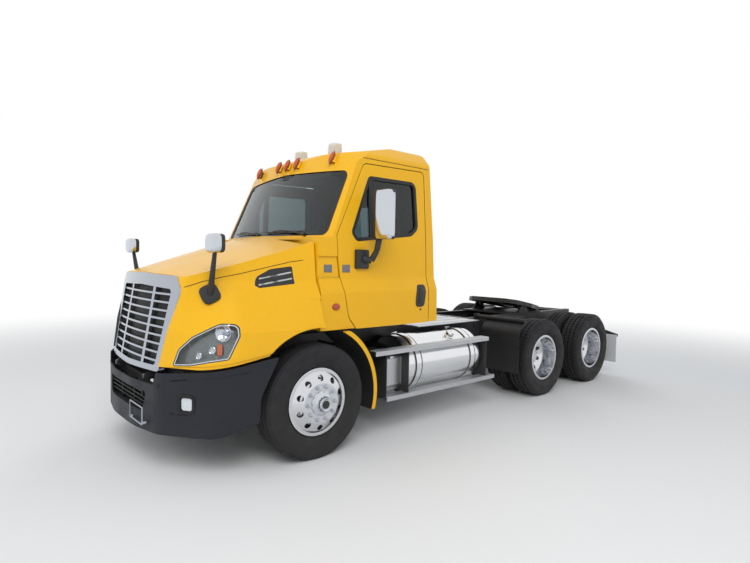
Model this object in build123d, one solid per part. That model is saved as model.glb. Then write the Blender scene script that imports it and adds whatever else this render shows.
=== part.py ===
from build123d import *
import os
from math import atan2, cos, degrees, hypot, pi, radians, sin, tan

# A semi truck tractor unit: a conventional day-cab tractor with one steered axle and two drive axles.
# Millimetres. X is across (plus is the driver's side), minus Y is forwards, Z is up, the ground is Z = 0.
# Places are first given from the front axle, and the finished solids are moved so that the origin
# lies on the ground under the middle of the whole vehicle.

# Whole vehicle, measured from the front axle
BUMPER_FRONT = -1265.0
REAR_END = 5760.0
WHEELBASE = 4293.0
TANDEM_SPACING = 1321.0
DRIVE_AXLE_Y = (WHEELBASE - TANDEM_SPACING / 2, WHEELBASE + TANDEM_SPACING / 2)

# Running clearances
PIN_CLEARANCE = 0.05
SEAT_GAP = 0.3
PANEL_GAP = 8.0

# Tyres and wheels
TYRE_RADIUS = 505.0
TYRE_WIDTH = 290.0
TREAD_WIDTH = 236.0
RIM_LIP_RADIUS = 298.5
RIM_SEAT_RADIUS = 280.0
RIM_WIDTH = 235.0
RIM_WALL = 12.0
WHEEL_OUTSET = 171.5
DISC_THICKNESS = 22.0
HUB_RADIUS = 110.0
HAND_HOLE_CIRCLE = 217.0
HAND_HOLE_RADIUS = 27.0
HAND_HOLE_COUNT = 10
FRONT_TYRE_X = 1033.0
DUAL_CENTRE_X = 916.5
AXLE_Z = TYRE_RADIUS

# Frame ladder
FRAME_WIDTH = 864.0
RAIL_HEIGHT = 270.0
RAIL_FLANGE = 80.0
RAIL_WALL = 9.0
RAIL_TOP = 990.0
RAIL_BOTTOM = RAIL_TOP - RAIL_HEIGHT
RAIL_FRONT = -1060.0
RAIL_REAR = REAR_END - 40.0
CROSS_DEPTH = 150.0
CROSS_WIDTH = 70.0
TAIL_LAMP_X = (-330.0, -200.0, 200.0, 330.0)
TAIL_LAMP_RADIUS = 52.0
CROSS_Y = (-990.0, 1650.0, 2640.0, 3080.0, WHEELBASE, 5480.0, RAIL_REAR - 40.0)

# Steering
KINGPIN_X = 850.0
KINGPIN_RADIUS = 24.0
KINGPIN_EYE_RADIUS = 42.0
YOKE_REACH = 85.0
YOKE_PLATE = 24.0
EYE_HEIGHT = 92.0
YOKE_ARM = 34.0
SPINDLE_RADIUS = 35.0
STEER_ARM_BACK = 190.0
TIE_ROD_RADIUS = 18.0
DRUM_RADIUS = 205.0
AXLE_TUBE_RADIUS = 72.0
DRUM_WALL = 14.0

# Cab
CAB_FRONT = 62.0
CAB_BACK = 1600.0
CAB_BOTTOM = 1110.0
BELT_Z = 1950.0
CAB_WALL = 45.0
DOOR_WALL = 55.0
DOOR_SKIN = 24.0
DOOR_STEP = 12.0
GLASS_WALL = 6.0
FLOOR_THICKNESS = 35.0
SCREEN_BASE_Y = 70.0
SCREEN_SLOPE = 24.0
SCREEN_RADIUS = 4100.0

# Hood
HOOD_WALL = 14.0
LIP_INSET = 9.0
HOOD_REAR = 50.0
HOOD_TOP_FRONT = 1616.0
HOOD_TOP_FRONT_Y = -1050.0
HOOD_TOP_REAR = 1972.0
HOOD_CROWN_RADIUS = 7000.0
HINGE_Y = -1195.0
HINGE_Z = 750.0
HINGE_PIN_RADIUS = 12.0
HOOD_TUBE_REACH = 735.0
ARCH_RADIUS = 650.0
GUARD_RADIUS = 648.0

# Bumper: plan outline from the middle out as x, y and corner radius
BUMPER_WALL = 12.0
BUMPER_NOTCH_Z = 722.0
BUMPER_PAST = 60.0
BUMPER_PLAN = [(260.0, BUMPER_FRONT, 1400.0), (640.0, BUMPER_FRONT + 68.0, 300.0), (1108.0, -900.0, 380.0),
               (1192.0, -360.0, 0.0)]
FOG_LAMP_X = 870.0
FOG_LAMP_Z = 598.0
FOG_LAMP_SIZE = 96.0

# Tank and steps
TANK_RADIUS = 300.0
TANK_X = 745.0
TANK_Z = 640.0
TANK_FRONT = 1200.0
TANK_REAR = 2470.0
STEP_OUT = 1115.0
STEP_WIDTH = 118.0

# Fifth wheel
KINGPIN_HOLE_Y = 4380.0
FIFTH_PIVOT_Y = 4330.0
FIFTH_PIVOT_Z = 1075.0
FIFTH_TOP = 85.0
FIFTH_REST_TILT = 10.0
FIFTH_PIN_RADIUS = 25.0
# A trailer's kingpin is 50.8 mm across its neck
JAW_RADIUS = 25.7
JAW_LENGTH = 36.0

ORIGIN_Y = (BUMPER_FRONT + REAR_END) / 2


# Small helpers

def block(x0, x1, y0, y1, z0, z1):
    """A box between two corners."""
    return Pos((x0 + x1) / 2, (y0 + y1) / 2, (z0 + z1) / 2) * Box(x1 - x0, y1 - y0, z1 - z0)


def rounded(rows, inset=0.0):
    """A closed face from rows of (first, second, corner radius), pulled in by inset."""
    line = FilletPolyline(*[(a, b) for a, b, r in rows], radius=[r for a, b, r in rows], close=True)
    face = make_face(line)
    if inset:
        face = offset(face, amount=-inset, kind=Kind.INTERSECTION)
    return face


def across(rows, x0, x1, inset=0.0):
    """A side outline of (y, z, radius) rows, extruded across from x0 to x1."""
    return extrude(Plane.YZ.offset(x0) * rounded(rows, inset), x1 - x0)


def along(rows, y0, y1, inset=0.0):
    """A front outline of (x, z, radius) rows, extruded along from y0 to y1."""
    return extrude(Plane.XZ.offset(-y1) * rounded(rows, inset), y1 - y0)


def upright(rows, z0, z1, inset=0.0):
    """A plan outline of (x, y, radius) rows, extruded from z0 up to z1."""
    return extrude(Plane.XY.offset(z0) * rounded(rows, inset), z1 - z0)


def mirrored_rows(rows):
    """A half outline of (x, other, radius) rows from the middle out, closed by its mirror image."""
    return rows + [(-x, v, r) for x, v, r in reversed(rows) if x > 0]


def bar_x(radius, x0, x1, y, z):
    """A round bar that lies across."""
    return Pos((x0 + x1) / 2, y, z) * Rot(0, 90, 0) * Cylinder(radius, abs(x1 - x0))


def bar_z(radius, x, y, z0, z1):
    """A round bar that stands up."""
    return Pos(x, y, (z0 + z1) / 2) * Cylinder(radius, z1 - z0)


def other_side(shape):
    return mirror(shape, about=Plane.YZ)


def both(shape):
    return [shape, other_side(shape)]


def fuse(shapes):
    result = shapes[0]
    for shape in shapes[1:]:
        result = result + shape
    return result


def solids_of(items):
    found = []
    for item in items:
        found.extend(item.solids())
    return found


def write(name, *items):
    """Move a node's solids to the shared origin and write them as one file."""
    solids = [Pos(0, -ORIGIN_Y, 0) * s for s in solids_of(items)]
    shape = solids[0] if len(solids) == 1 else Compound(children=solids)
    export_step(shape, "parts/" + name + ".step")


# Frame ladder: two channel rails with cross members between them

def rail():
    half = FRAME_WIDTH / 2
    rows = [
        (half - RAIL_FLANGE, RAIL_BOTTOM, 0), (half, RAIL_BOTTOM, 6), (half, RAIL_TOP, 6),
        (half - RAIL_FLANGE, RAIL_TOP, 0), (half - RAIL_FLANGE, RAIL_TOP - RAIL_WALL, 0),
        (half - RAIL_WALL, RAIL_TOP - RAIL_WALL, 4), (half - RAIL_WALL, RAIL_BOTTOM + RAIL_WALL, 4),
        (half - RAIL_FLANGE, RAIL_BOTTOM + RAIL_WALL, 0),
    ]
    return along(rows, RAIL_FRONT, RAIL_REAR)


def frame_ladder():
    reach = FRAME_WIDTH / 2 - RAIL_WALL / 2
    parts = both(rail())
    for y in CROSS_Y:
        y0, y1 = y - CROSS_WIDTH / 2, y + CROSS_WIDTH / 2
        parts.append(block(-reach, reach, y0, y1, RAIL_TOP - RAIL_WALL - CROSS_DEPTH, RAIL_TOP - RAIL_WALL))
    # Hood hinge brackets run from the rails' front ends to the hinge pins
    for side in (1, -1):
        x0, x1 = sorted((side * 352, side * 368))
        parts.append(across([(HINGE_Y - 20, HINGE_Z - 26, 16), (RAIL_FRONT + 60, RAIL_BOTTOM, 0),
                             (RAIL_FRONT + 60, 830, 0), (RAIL_FRONT - 60, HINGE_Z + 30, 10),
                             (HINGE_Y - 20, HINGE_Z + 24, 16)], x0, x1))
        parts.append(bar_x(HINGE_PIN_RADIUS, side * 360, side * 402, HINGE_Y, HINGE_Z))
    # Four round tail lamps on the rear cross member
    for x in TAIL_LAMP_X:
        lamp = Rot(90, 0, 0) * Cylinder(TAIL_LAMP_RADIUS, REAR_END - RAIL_REAR + 10)
        parts.append(Pos(x, (REAR_END + RAIL_REAR - 10) / 2, RAIL_TOP - RAIL_WALL - CROSS_DEPTH / 2) * lamp)
    return fuse(parts)


# Heavy closed masses: engine, gearbox and radiator as plain blocks

def engine_block():
    engine = block(-320, 320, -690, 590, 640, 1500)
    feet = [block(s * 320 if s > 0 else -424 + 1, 423 if s > 0 else -320, y, y + 90, 800, 860)
            for s in (1, -1) for y in (-450, 350)]
    gearbox = block(-230, 230, 590, 1430, 600, 960)
    mass = fuse([engine, gearbox] + feet)
    radiator = block(-470, 470, -925, -800, 1000, 1500)
    legs = [block(s * 395 - 22, s * 395 + 22, -900, -830, RAIL_TOP + SEAT_GAP, 1001) for s in (1, -1)]
    return [mass, fuse([radiator] + legs)]


# Front axle: a dropped beam with kingpins, on two leaf springs

def front_axle():
    low, high = AXLE_Z - EYE_HEIGHT / 2, AXLE_Z + EYE_HEIGHT / 2
    parts = []
    half = [(0, low - 60, 0), (560, low - 60, 60), (760, low, 60), (KINGPIN_X, low, 0),
            (KINGPIN_X, high, 0), (760, high, 60), (560, high - 40, 60), (0, high - 40, 0)]
    beam = along(half, -45, 45)
    parts += [beam, other_side(beam)]
    for side in (1, -1):
        x = side * KINGPIN_X
        parts.append(bar_z(KINGPIN_EYE_RADIUS, x, 0, low, high))
        parts.append(bar_z(KINGPIN_RADIUS, x, 0, low - YOKE_ARM, high + YOKE_ARM))
    seat = high - 40
    for side in (1, -1):
        x0, x1 = side * 392 - 42, side * 392 + 42
        leaf = across([(-700, seat + 105, 0), (-640, seat + 70, 40), (-120, seat, 200), (120, seat, 200),
                       (640, seat + 70, 40), (760, seat + 105, 0), (760, seat + 145, 0), (640, seat + 112, 40),
                       (120, seat + 48, 200), (-120, seat + 48, 200), (-640, seat + 112, 40),
                       (-700, seat + 145, 0)], x0, x1)
        parts.append(leaf)
        for y in (-700, 700):
            parts.append(block(x0 + 6, x1 - 6, y - 40, y + 60, seat + 95, RAIL_BOTTOM - SEAT_GAP))
    return fuse(parts)


def knuckle():
    """The driver's side steering knuckle: a forked yoke on the kingpin, a spindle and a steering arm."""
    low, high = AXLE_Z - EYE_HEIGHT / 2, AXLE_Z + EYE_HEIGHT / 2
    gap = 0.5
    x0 = KINGPIN_X + YOKE_REACH
    plate = block(x0, x0 + YOKE_PLATE, -60, 60, low - gap - YOKE_ARM, high + gap + YOKE_ARM)
    parts = [plate]
    for z0 in (low - gap - YOKE_ARM, high + gap):
        parts.append(bar_z(44, KINGPIN_X, 0, z0, z0 + YOKE_ARM))
        parts.append(block(KINGPIN_X, x0 + 5, -44, 44, z0, z0 + YOKE_ARM))
    parts.append(bar_x(SPINDLE_RADIUS, x0 + YOKE_PLATE - 2, 1165, 0, AXLE_Z))
    z0 = low - gap - YOKE_ARM
    ball_x, ball_y = KINGPIN_X, STEER_ARM_BACK
    arm = upright([(KINGPIN_X - 5, 25, 0), (x0 + 12, 25, 0), (x0 + 12, 70, 20), (ball_x + 24, ball_y + 18, 12),
                   (ball_x - 20, ball_y + 18, 12), (ball_x - 20, ball_y - 20, 12)], z0, z0 + YOKE_ARM)
    parts.append(arm)
    body = fuse(parts)
    body = body - bar_z(KINGPIN_RADIUS + PIN_CLEARANCE, KINGPIN_X, 0, z0 - 10, high + 100)
    stud = bar_z(12, ball_x, ball_y, z0 - 40, z0 + 1)
    return body + stud


def tie_rod():
    low = AXLE_Z - EYE_HEIGHT / 2 - 0.5 - YOKE_ARM
    x = KINGPIN_X
    z = low - 24
    parts = [bar_x(TIE_ROD_RADIUS, -x, x, STEER_ARM_BACK, z)]
    for side in (1, -1):
        parts.append(bar_z(26, side * x, STEER_ARM_BACK, z - 20, z + 20))
    rod = fuse(parts)
    for side, clearance in ((1, PIN_CLEARANCE), (-1, 1.5)):
        rod = rod - bar_z(12 + clearance, side * x, STEER_ARM_BACK, z - 30, z + 30)
    return rod


# Wheels: one drop-centre disc wheel for all places, turned round for the steered axle

def wheel_rows():
    lip0 = WHEEL_OUTSET - RIM_WIDTH / 2
    lip1 = WHEEL_OUTSET + RIM_WIDTH / 2
    inner = RIM_SEAT_RADIUS - RIM_WALL
    return [
        (0, HUB_RADIUS - 4, 0), (0, 176, 20), (40, 250, 20), (lip0, inner, 0), (lip0, RIM_LIP_RADIUS, 5),
        (lip0 + 10, RIM_LIP_RADIUS, 0), (lip0 + 16, RIM_SEAT_RADIUS, 0), (lip1 - 16, RIM_SEAT_RADIUS, 0),
        (lip1 - 10, RIM_LIP_RADIUS, 0), (lip1, RIM_LIP_RADIUS, 5), (lip1, inner, 0), (105, inner, 20),
        (66, 240, 20), (DISC_THICKNESS, 172, 20), (DISC_THICKNESS, HUB_RADIUS - 4, 0),
    ]


def disc_wheel(face_x, outward, y):
    """A wheel whose mounting face is at face_x; its rim lies on the outward side, plus or minus one."""
    section = [(face_x + outward * u, r, c) for u, r, c in wheel_rows()]
    ring = revolve(Plane.XZ * rounded(section), Axis.X)
    for i in range(HAND_HOLE_COUNT):
        a = 2 * pi * (i + 0.5) / HAND_HOLE_COUNT
        ring = ring - bar_x(HAND_HOLE_RADIUS, face_x - 120, face_x + 120,
                            HAND_HOLE_CIRCLE * cos(a), HAND_HOLE_CIRCLE * sin(a))
    return Pos(0, y, AXLE_Z) * ring


def tyre(centre_x, y):
    half, tread = TYRE_WIDTH / 2, TREAD_WIDTH / 2
    bead = RIM_SEAT_RADIUS + SEAT_GAP
    foot = RIM_WIDTH / 2 - 17
    rows = [(-foot, bead, 0), (-foot - 2, RIM_LIP_RADIUS + 6, 0), (-half + 6, 335, 60), (-half, 400, 70),
            (-half + 8, 462, 60), (-tread, TYRE_RADIUS - 4, 14), (-tread * 0.5, TYRE_RADIUS, 0),
            (tread * 0.5, TYRE_RADIUS, 0), (tread, TYRE_RADIUS - 4, 14), (half - 8, 462, 60), (half, 400, 70),
            (half - 6, 335, 60), (foot + 2, RIM_LIP_RADIUS + 6, 0), (foot, bead, 0)]
    section = [(centre_x + u, r, c) for u, r, c in rows]
    return Pos(0, y, AXLE_Z) * revolve(Plane.XZ * rounded(section), Axis.X)


def front_wheel():
    """Driver's side steered wheel: disc outwards, hub with its cap, brake drum inside the rim."""
    face = FRONT_TYRE_X + WHEEL_OUTSET
    wheel = disc_wheel(face, -1, 0)
    rows = [(SPINDLE_RADIUS + PIN_CLEARANCE, 975, 0), (SPINDLE_RADIUS + PIN_CLEARANCE, 1172, 0), (0, 1172, 0),
            (0, face + 62, 0), (62, face + 62, 12), (70, face + 26, 0), (HUB_RADIUS - 2, face + 14, 4),
            (HUB_RADIUS - 2, face - 10, 0), (150, face - DISC_THICKNESS, 0), (DRUM_RADIUS, face - 40, 10),
            (DRUM_RADIUS, 975, 0), (DRUM_RADIUS - DRUM_WALL, 975, 0), (DRUM_RADIUS - DRUM_WALL, face - 62, 0),
            (75, face - 62, 0), (60, 975, 0)]
    section = [(u, r, c) for r, u, c in rows]
    hub = Pos(0, 0, AXLE_Z) * revolve(Plane.XZ * rounded(section), Axis.X)
    return wheel + hub


def drive_wheels(y):
    """Driver's side twin wheels with their hub, flange and drum."""
    outer = disc_wheel(DUAL_CENTRE_X, 1, y)
    inner = disc_wheel(DUAL_CENTRE_X, -1, y)
    face = DUAL_CENTRE_X
    rows = [(SPINDLE_RADIUS + PIN_CLEARANCE, 660, 0), (SPINDLE_RADIUS + PIN_CLEARANCE, 1012, 0), (0, 1012, 0),
            (0, face + 138, 0), (52, face + 138, 8), (60, face + 118, 0), (96, face + 118, 4),
            (100, face + 100, 0), (HUB_RADIUS - 2, face + 30, 0), (HUB_RADIUS - 2, face - 20, 0),
            (150, face - DISC_THICKNESS, 0), (150, face - 40, 0), (DRUM_RADIUS, face - 50, 10),
            (DRUM_RADIUS, 660, 0), (DRUM_RADIUS - DRUM_WALL, 660, 0), (DRUM_RADIUS - DRUM_WALL, face - 75, 0),
            (75, face - 75, 0), (60, 660, 0)]
    section = [(u, r, c) for r, u, c in rows]
    hub = Pos(0, y, AXLE_Z) * revolve(Plane.XZ * rounded(section), Axis.X)
    return outer + inner + hub


# Drive axles with their final drives and shafts

def drive_axles():
    parts = []
    for y in DRIVE_AXLE_Y:
        parts.append(bar_x(AXLE_TUBE_RADIUS, -640, 640, y, AXLE_Z))
        parts.append(bar_x(SPINDLE_RADIUS, -1005, 1005, y, AXLE_Z))
        parts.append(Pos(0, y, AXLE_Z) * Rot(90, 0, 0) * Cone(205, 150, 230))
        parts.append(Pos(0, y, AXLE_Z) * Sphere(198))
    return parts


def shaft(y0, z0, y1, z1, radius):
    length = hypot(y1 - y0, z1 - z0)
    pitch = degrees(atan2(z1 - z0, y1 - y0))
    return Pos(0, (y0 + y1) / 2, (z0 + z1) / 2) * Rot(pitch, 0, 0) * Rot(90, 0, 0) * Cylinder(radius, length)


def driveline():
    y0, y1 = DRIVE_AXLE_Y
    shafts = [shaft(1437, 740, y0 - 150, 540, 45), shaft(y0 + 150, 540, y1 - 150, 540, 45)]
    return fuse(drive_axles() + shafts)


def drive_suspension():
    """Trailing arms, their frame hangers and air springs, one set at each end of each drive axle."""
    parts = []
    for y in DRIVE_AXLE_Y:
        for side in (1, -1):
            x = side * 392
            saddle = AXLE_Z + AXLE_TUBE_RADIUS + SEAT_GAP
            arm = across([(y - 600, 590, 20), (y - 100, saddle, 30), (y + 90, saddle, 30),
                          (y + 170, 500, 30), (y + 430, 500, 10), (y + 430, 545, 10), (y + 200, 545, 30),
                          (y + 110, AXLE_Z + 130, 30), (y - 110, AXLE_Z + 130, 30), (y - 600, 650, 20)],
                         x - 38, x + 38)
            hanger = block(x - 39, x + 39, y - 610, y - 520, 560, RAIL_BOTTOM - SEAT_GAP)
            bag = bar_z(118, x, y + 310, 544, RAIL_BOTTOM - SEAT_GAP)
            parts.append(fuse([arm, hanger, bag]))
    return parts


# Tanks, steps and boxes along the sides

def fuel_tank():
    rows = [(TANK_FRONT, 0, 0), (TANK_FRONT, TANK_RADIUS * 0.55, 200), (TANK_FRONT + 28, TANK_RADIUS, 24),
            (TANK_REAR - 28, TANK_RADIUS, 24), (TANK_REAR, TANK_RADIUS * 0.55, 200), (TANK_REAR, 0, 0)]
    face = Plane.YZ * rounded(rows)
    shell = Pos(TANK_X, 0, TANK_Z) * revolve(face, Axis.Y)
    parts = [shell]
    for y in (1345, 1415, 2255, 2325):
        band = Pos(TANK_X, y, TANK_Z) * Rot(90, 0, 0) * Cylinder(TANK_RADIUS + 5, 36)
        parts.append(band)
    for y in (1380, 2290):
        cradle = block(FRAME_WIDTH / 2 + SEAT_GAP, TANK_X - 150, y - 53, y + 53, 560, 900)
        parts.append(cradle)
    return fuse(parts)


HANGER_Y = (856.0, 1166.0, 2480.0)
HANGER_PLATE = 8.0
LOWER_STEP_Z = (352.0, 396.0)
UPPER_STEP_Z = (818.0, 862.0)


def side_step():
    inner = STEP_OUT - STEP_WIDTH
    parts = [block(inner, STEP_OUT, 700, 2510, *UPPER_STEP_Z),
             block(inner, STEP_OUT, HANGER_Y[0], 2640, *LOWER_STEP_Z)]
    low, high = LOWER_STEP_Z[0], UPPER_STEP_Z[1]
    for y in HANGER_Y:
        rows = [(FRAME_WIDTH / 2 + SEAT_GAP, high - 20, 0), (STEP_OUT - 15, high - 20, 0), (STEP_OUT - 15, low, 0),
                (inner - 60, low, 0), (FRAME_WIDTH / 2 + SEAT_GAP, high - 160, 0)]
        parts.append(along(rows, y, y + HANGER_PLATE))
    return fuse(parts)


def battery_box():
    y0, y1 = HANGER_Y[0] + HANGER_PLATE + SEAT_GAP, HANGER_Y[1] - SEAT_GAP
    rows = [(560, 410, 10), (960, 410, 30), (1000, 470, 30), (1000, 760, 60), (930, 800, 30), (560, 800, 10)]
    return along(rows, y0, y1)


def deck_plate():
    plate = block(-700, 700, 1720, 2870, RAIL_TOP, RAIL_TOP + 8)
    for x in range(-600, 601, 200):
        plate = plate + block(x - 20, x + 20, 1720, 2870, RAIL_TOP + 8, RAIL_TOP + 12)
    return plate


# Fifth wheel: a base plate with two eared brackets, and the tilting top plate

def fifth_wheel_base():
    z = RAIL_TOP
    parts = [block(-440, 440, 3950, 4790, z, z + 14)]
    for side in (1, -1):
        x0, x1 = sorted((side * 398, side * 430))
        y = FIFTH_PIVOT_Y
        ear = across([(y - 150, z + 10, 0), (y + 150, z + 10, 0), (y + 42, FIFTH_PIVOT_Z + 44, 40),
                      (y - 42, FIFTH_PIVOT_Z + 44, 40)], x0, x1)
        parts.append(ear)
        parts.append(bar_x(FIFTH_PIN_RADIUS, side * 342, side * 400, y, FIFTH_PIVOT_Z))
    return fuse(parts)


def fifth_wheel_plate():
    """The top plate, level and with its pivot at the origin, then tipped back to rest on its stop."""
    top = FIFTH_TOP
    throat = KINGPIN_HOLE_Y - FIFTH_PIVOT_Y
    half = [(0, -340, 0), (300, -340, 60), (457, -220, 90), (457, 170, 90), (400, 420, 40), (330, 610, 20),
            (160, 610, 20), (90, 250, 20), (38, 160, 0), (38, throat, 0), (0, throat, 0)]
    outline = mirrored_rows(half)
    plate = upright(outline, top - 16, top)
    plate = plate - bar_z(38, 0, throat, top - 40, top + 10)
    skirt = upright(outline, top - 62, top - 15) - upright(outline, top - 70, top - 15, inset=18)
    skirt = skirt - bar_z(38, 0, throat, top - 70, top)
    parts = [plate, skirt]
    for side in (1, -1):
        x0, x1 = sorted((side * 344, side * 392))
        lug = across([(-60, top - 14, 0), (-38, -38, 34), (38, -38, 34), (60, top - 14, 0)], x0, x1)
        parts.append(lug)
    body = fuse(parts)
    for side in (1, -1):
        body = body - bar_x(FIFTH_PIN_RADIUS + PIN_CLEARANCE, side * 330, side * 396, 0, 0)
    # The lock's jaw block under the throat, with a half-round seat for the trailer's kingpin
    jaw = upright(mirrored_rows([(0, throat - 90, 0), (92, throat - 90, 20), (92, throat + 60, 20),
                                 (JAW_RADIUS, throat + 60, 0), (JAW_RADIUS, throat, 0), (0, throat, 0)]),
                  top - 15 - JAW_LENGTH, top - 15)
    jaw = jaw - bar_z(JAW_RADIUS, 0, throat, top - 100, top)
    body = body + jaw
    return Pos(0, FIFTH_PIVOT_Y, FIFTH_PIVOT_Z) * Rot(-FIFTH_REST_TILT, 0, 0) * body


# Rear guards

def quarter_fender():
    y = DRIVE_AXLE_Y[0] - 575
    rows = [(y, 350, 0), (y, 900, 130), (y + 130, 1002, 0), (y + 133, 997, 0), (y + 5, 896, 125), (y + 5, 350, 0)]
    sheet = across(rows, 600, 1178)
    inner = FRAME_WIDTH / 2 + SEAT_GAP
    bar = bar_x(28, inner, 1200, y + 104, 1012)
    plate = block(inner, inner + 10, y + 40, y + 160, 880, 1050)
    return sheet + bar + plate


def mud_flap():
    """A flap on a tapered hanger that is bolted across the rails' rear ends."""
    y = RAIL_REAR + SEAT_GAP
    inner = FRAME_WIDTH / 2 - RAIL_FLANGE
    flap = block(640, 1245, y - 8, y + 1, 205, 640)
    hanger = along([(inner, 800, 0), (640, 800, 0), (1250, 650, 0), (1250, 610, 0), (640, 610, 30),
                    (560, 720, 30), (inner, 720, 0)], y, REAR_END)
    return flap + hanger


def splash_guard():
    ring = bar_x(GUARD_RADIUS + 42, 1105, 1150, 0, AXLE_Z) - bar_x(GUARD_RADIUS, 1000, 1200, 0, AXLE_Z)
    sheet = bar_x(GUARD_RADIUS + 8, 700, 1110, 0, AXLE_Z) - bar_x(GUARD_RADIUS, 600, 1200, 0, AXLE_Z)
    keep = block(600, 1200, 300, 800, 330, 1096)
    middle = GUARD_RADIUS + 4
    stay_z = RAIL_TOP - 90
    stay_y = (middle ** 2 - (stay_z - AXLE_Z) ** 2) ** 0.5
    stay = bar_x(14, FRAME_WIDTH / 2 + SEAT_GAP, 706, stay_y, stay_z)
    return ((ring + sheet) & keep) + stay


# Bumper

def bumper():
    outline = mirrored_rows(BUMPER_PLAN)
    outer = upright(outline, 325, 985)
    (x0, y0, _), (x1, y1, _) = BUMPER_PLAN[2:4]
    past = (x1 + (x1 - x0) * BUMPER_PAST / (y1 - y0), y1 + BUMPER_PAST, 0)
    inner = upright(mirrored_rows(BUMPER_PLAN[:3] + [past]), 300, 1000, inset=BUMPER_WALL)
    shell = outer - inner
    side = across([(-1300, 330, 0), (-900, 345, 80), (-575, 430, 30), (-560, 640, 200), (-412, 948, 10),
                   (-690, 900, 0), (-1300, 802, 0)], -1250, 1250)
    shell = shell & side
    notch = [(-660, 1000, 0), (-590, BUMPER_NOTCH_Z, 30), (590, BUMPER_NOTCH_Z, 30), (660, 1000, 0)]
    shell = shell - along(notch, -1400, -900)
    opening = along(mirrored_rows([(0, 652, 0), (480, 652, 30), (420, 486, 30), (0, 486, 0)]), -1400, -1000)
    shell = shell - opening
    half = FOG_LAMP_SIZE / 2 + 14
    window = along([(FOG_LAMP_X - half, FOG_LAMP_Z - half, 20), (FOG_LAMP_X + half, FOG_LAMP_Z - half, 20),
                    (FOG_LAMP_X + half, FOG_LAMP_Z + half, 20), (FOG_LAMP_X - half, FOG_LAMP_Z + half, 20)],
                   -1300, -900)
    for cut in both(window):
        shell = shell - cut
    parts = [shell]
    for z in (520, 556, 592, 628):
        parts.append(block(-500, 500, BUMPER_FRONT + 45, BUMPER_FRONT + 85, z - 6, z + 6))
    for x in (-470, -160, 160, 470):
        parts.append(block(x - 6, x + 6, BUMPER_FRONT + 45, BUMPER_FRONT + 90, 470, 670))
    # Two plates under the rails' front ends carry the bumper
    seat = RAIL_BOTTOM - SEAT_GAP
    for side in (1, -1):
        x0, x1 = sorted((side * 404, side * 420))
        plate = across([(BUMPER_FRONT + 10, 600, 0), (RAIL_FRONT + 110, 600, 40), (RAIL_FRONT + 150, seat, 0),
                        (RAIL_FRONT + 10, seat, 0), (BUMPER_FRONT + 110, 676, 40), (BUMPER_FRONT + 10, 676, 0)], x0, x1)
        parts.append(plate & upright(outline, 500, 800, inset=1))
    return fuse(parts)


def fog_lamp():
    """A square lamp that looks out through the bumper's corner, held by a flange behind the skin."""
    (x0, y0, _), (x1, y1, _) = BUMPER_PLAN[1:3]
    turn = atan2(y1 - y0, x1 - x0)
    flange = FOG_LAMP_SIZE + 70
    lamp = Pos(0, 0, 4) * extrude(RectangleRounded(FOG_LAMP_SIZE, FOG_LAMP_SIZE, 22), 60)
    lamp = lamp + Pos(0, 0, BUMPER_WALL + SEAT_GAP) * extrude(RectangleRounded(flange, flange, 22), 8)
    place = Pos(FOG_LAMP_X, y0 + (FOG_LAMP_X - x0) * tan(turn), FOG_LAMP_Z) * Rot(0, 0, degrees(turn))
    return place * Rot(-90, 0, 0) * lamp


# Hood: plan sections at rising heights, lofted, then cut by the crowned top

# Columns: height, nose y at the middle, corner x, corner y, corner radius, shoulder x, shoulder y,
# shoulder radius, side x at the rear
HOOD_SECTIONS = [
    (868.0, -1232.0, 640.0, -1172.0, 260.0, 1105.0, -880.0, 360.0, 1196.0),
    (1150.0, -1196.0, 680.0, -1126.0, 200.0, 1070.0, -800.0, 360.0, 1186.0),
    (1420.0, -1120.0, 728.0, -1052.0, 110.0, 940.0, -700.0, 360.0, 1096.0),
    (1560.0, -1086.0, 742.0, -1030.0, 80.0, 880.0, -640.0, 360.0, 1018.0),
    (2060.0, -960.0, 742.0, -905.0, 80.0, 850.0, -560.0, 360.0, 960.0),
]


def hood_section(row, inset):
    z, nose, corner_x, corner_y, corner_r, shoulder_x, shoulder_y, shoulder_r, rear_x = row
    rows = mirrored_rows([(240, nose, 0), (corner_x, corner_y, corner_r), (shoulder_x, shoulder_y, shoulder_r),
                          (rear_x, HOOD_REAR, 0)])
    return Plane.XY.offset(z) * rounded(rows, inset)


def hood_volume(inset):
    """The space inside the hood's skin, pulled in by inset."""
    body = loft([hood_section(row, inset) for row in HOOD_SECTIONS], ruled=True)
    slope = atan2(HOOD_TOP_REAR - HOOD_TOP_FRONT, HOOD_REAR - HOOD_TOP_FRONT_Y)
    crown = Pos(0, HOOD_TOP_FRONT_Y, HOOD_TOP_FRONT - inset) * Rot(degrees(slope), 0, 0)
    crown = crown * Pos(0, 0, -HOOD_CROWN_RADIUS) * Rot(90, 0, 0) * Cylinder(HOOD_CROWN_RADIUS, 6000)
    return body & crown


# Headlight outline on the front view, as x and z with a corner radius
HEADLIGHT_ROWS = [(645, 884, 16), (690, 1020, 80), (800, 1120, 150), (1010, 1228, 140), (1150, 1222, 70),
                  (1172, 1130, 60), (1112, 950, 26), (980, 930, 200), (800, 893, 200)]
VENT_ROWS = [(-505, 1518, 14), (-478, 1590, 60), (-360, 1655, 80), (-165, 1682, 14), (-150, 1530, 14),
             (-470, 1496, 14)]
GRILLE_HALF = [(0, 1604, 0), (640, 1590, 60), (726, 1500, 90), (600, 824, 40), (0, 806, 0)]
GRILLE_OPENING_HALF = [(0, 1500, 0), (600, 1482, 40), (530, 868, 30), (0, 852, 0)]


def grille_prism(rows, inset=0.0):
    return along(mirrored_rows(rows), -1500, -940, inset)


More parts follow.
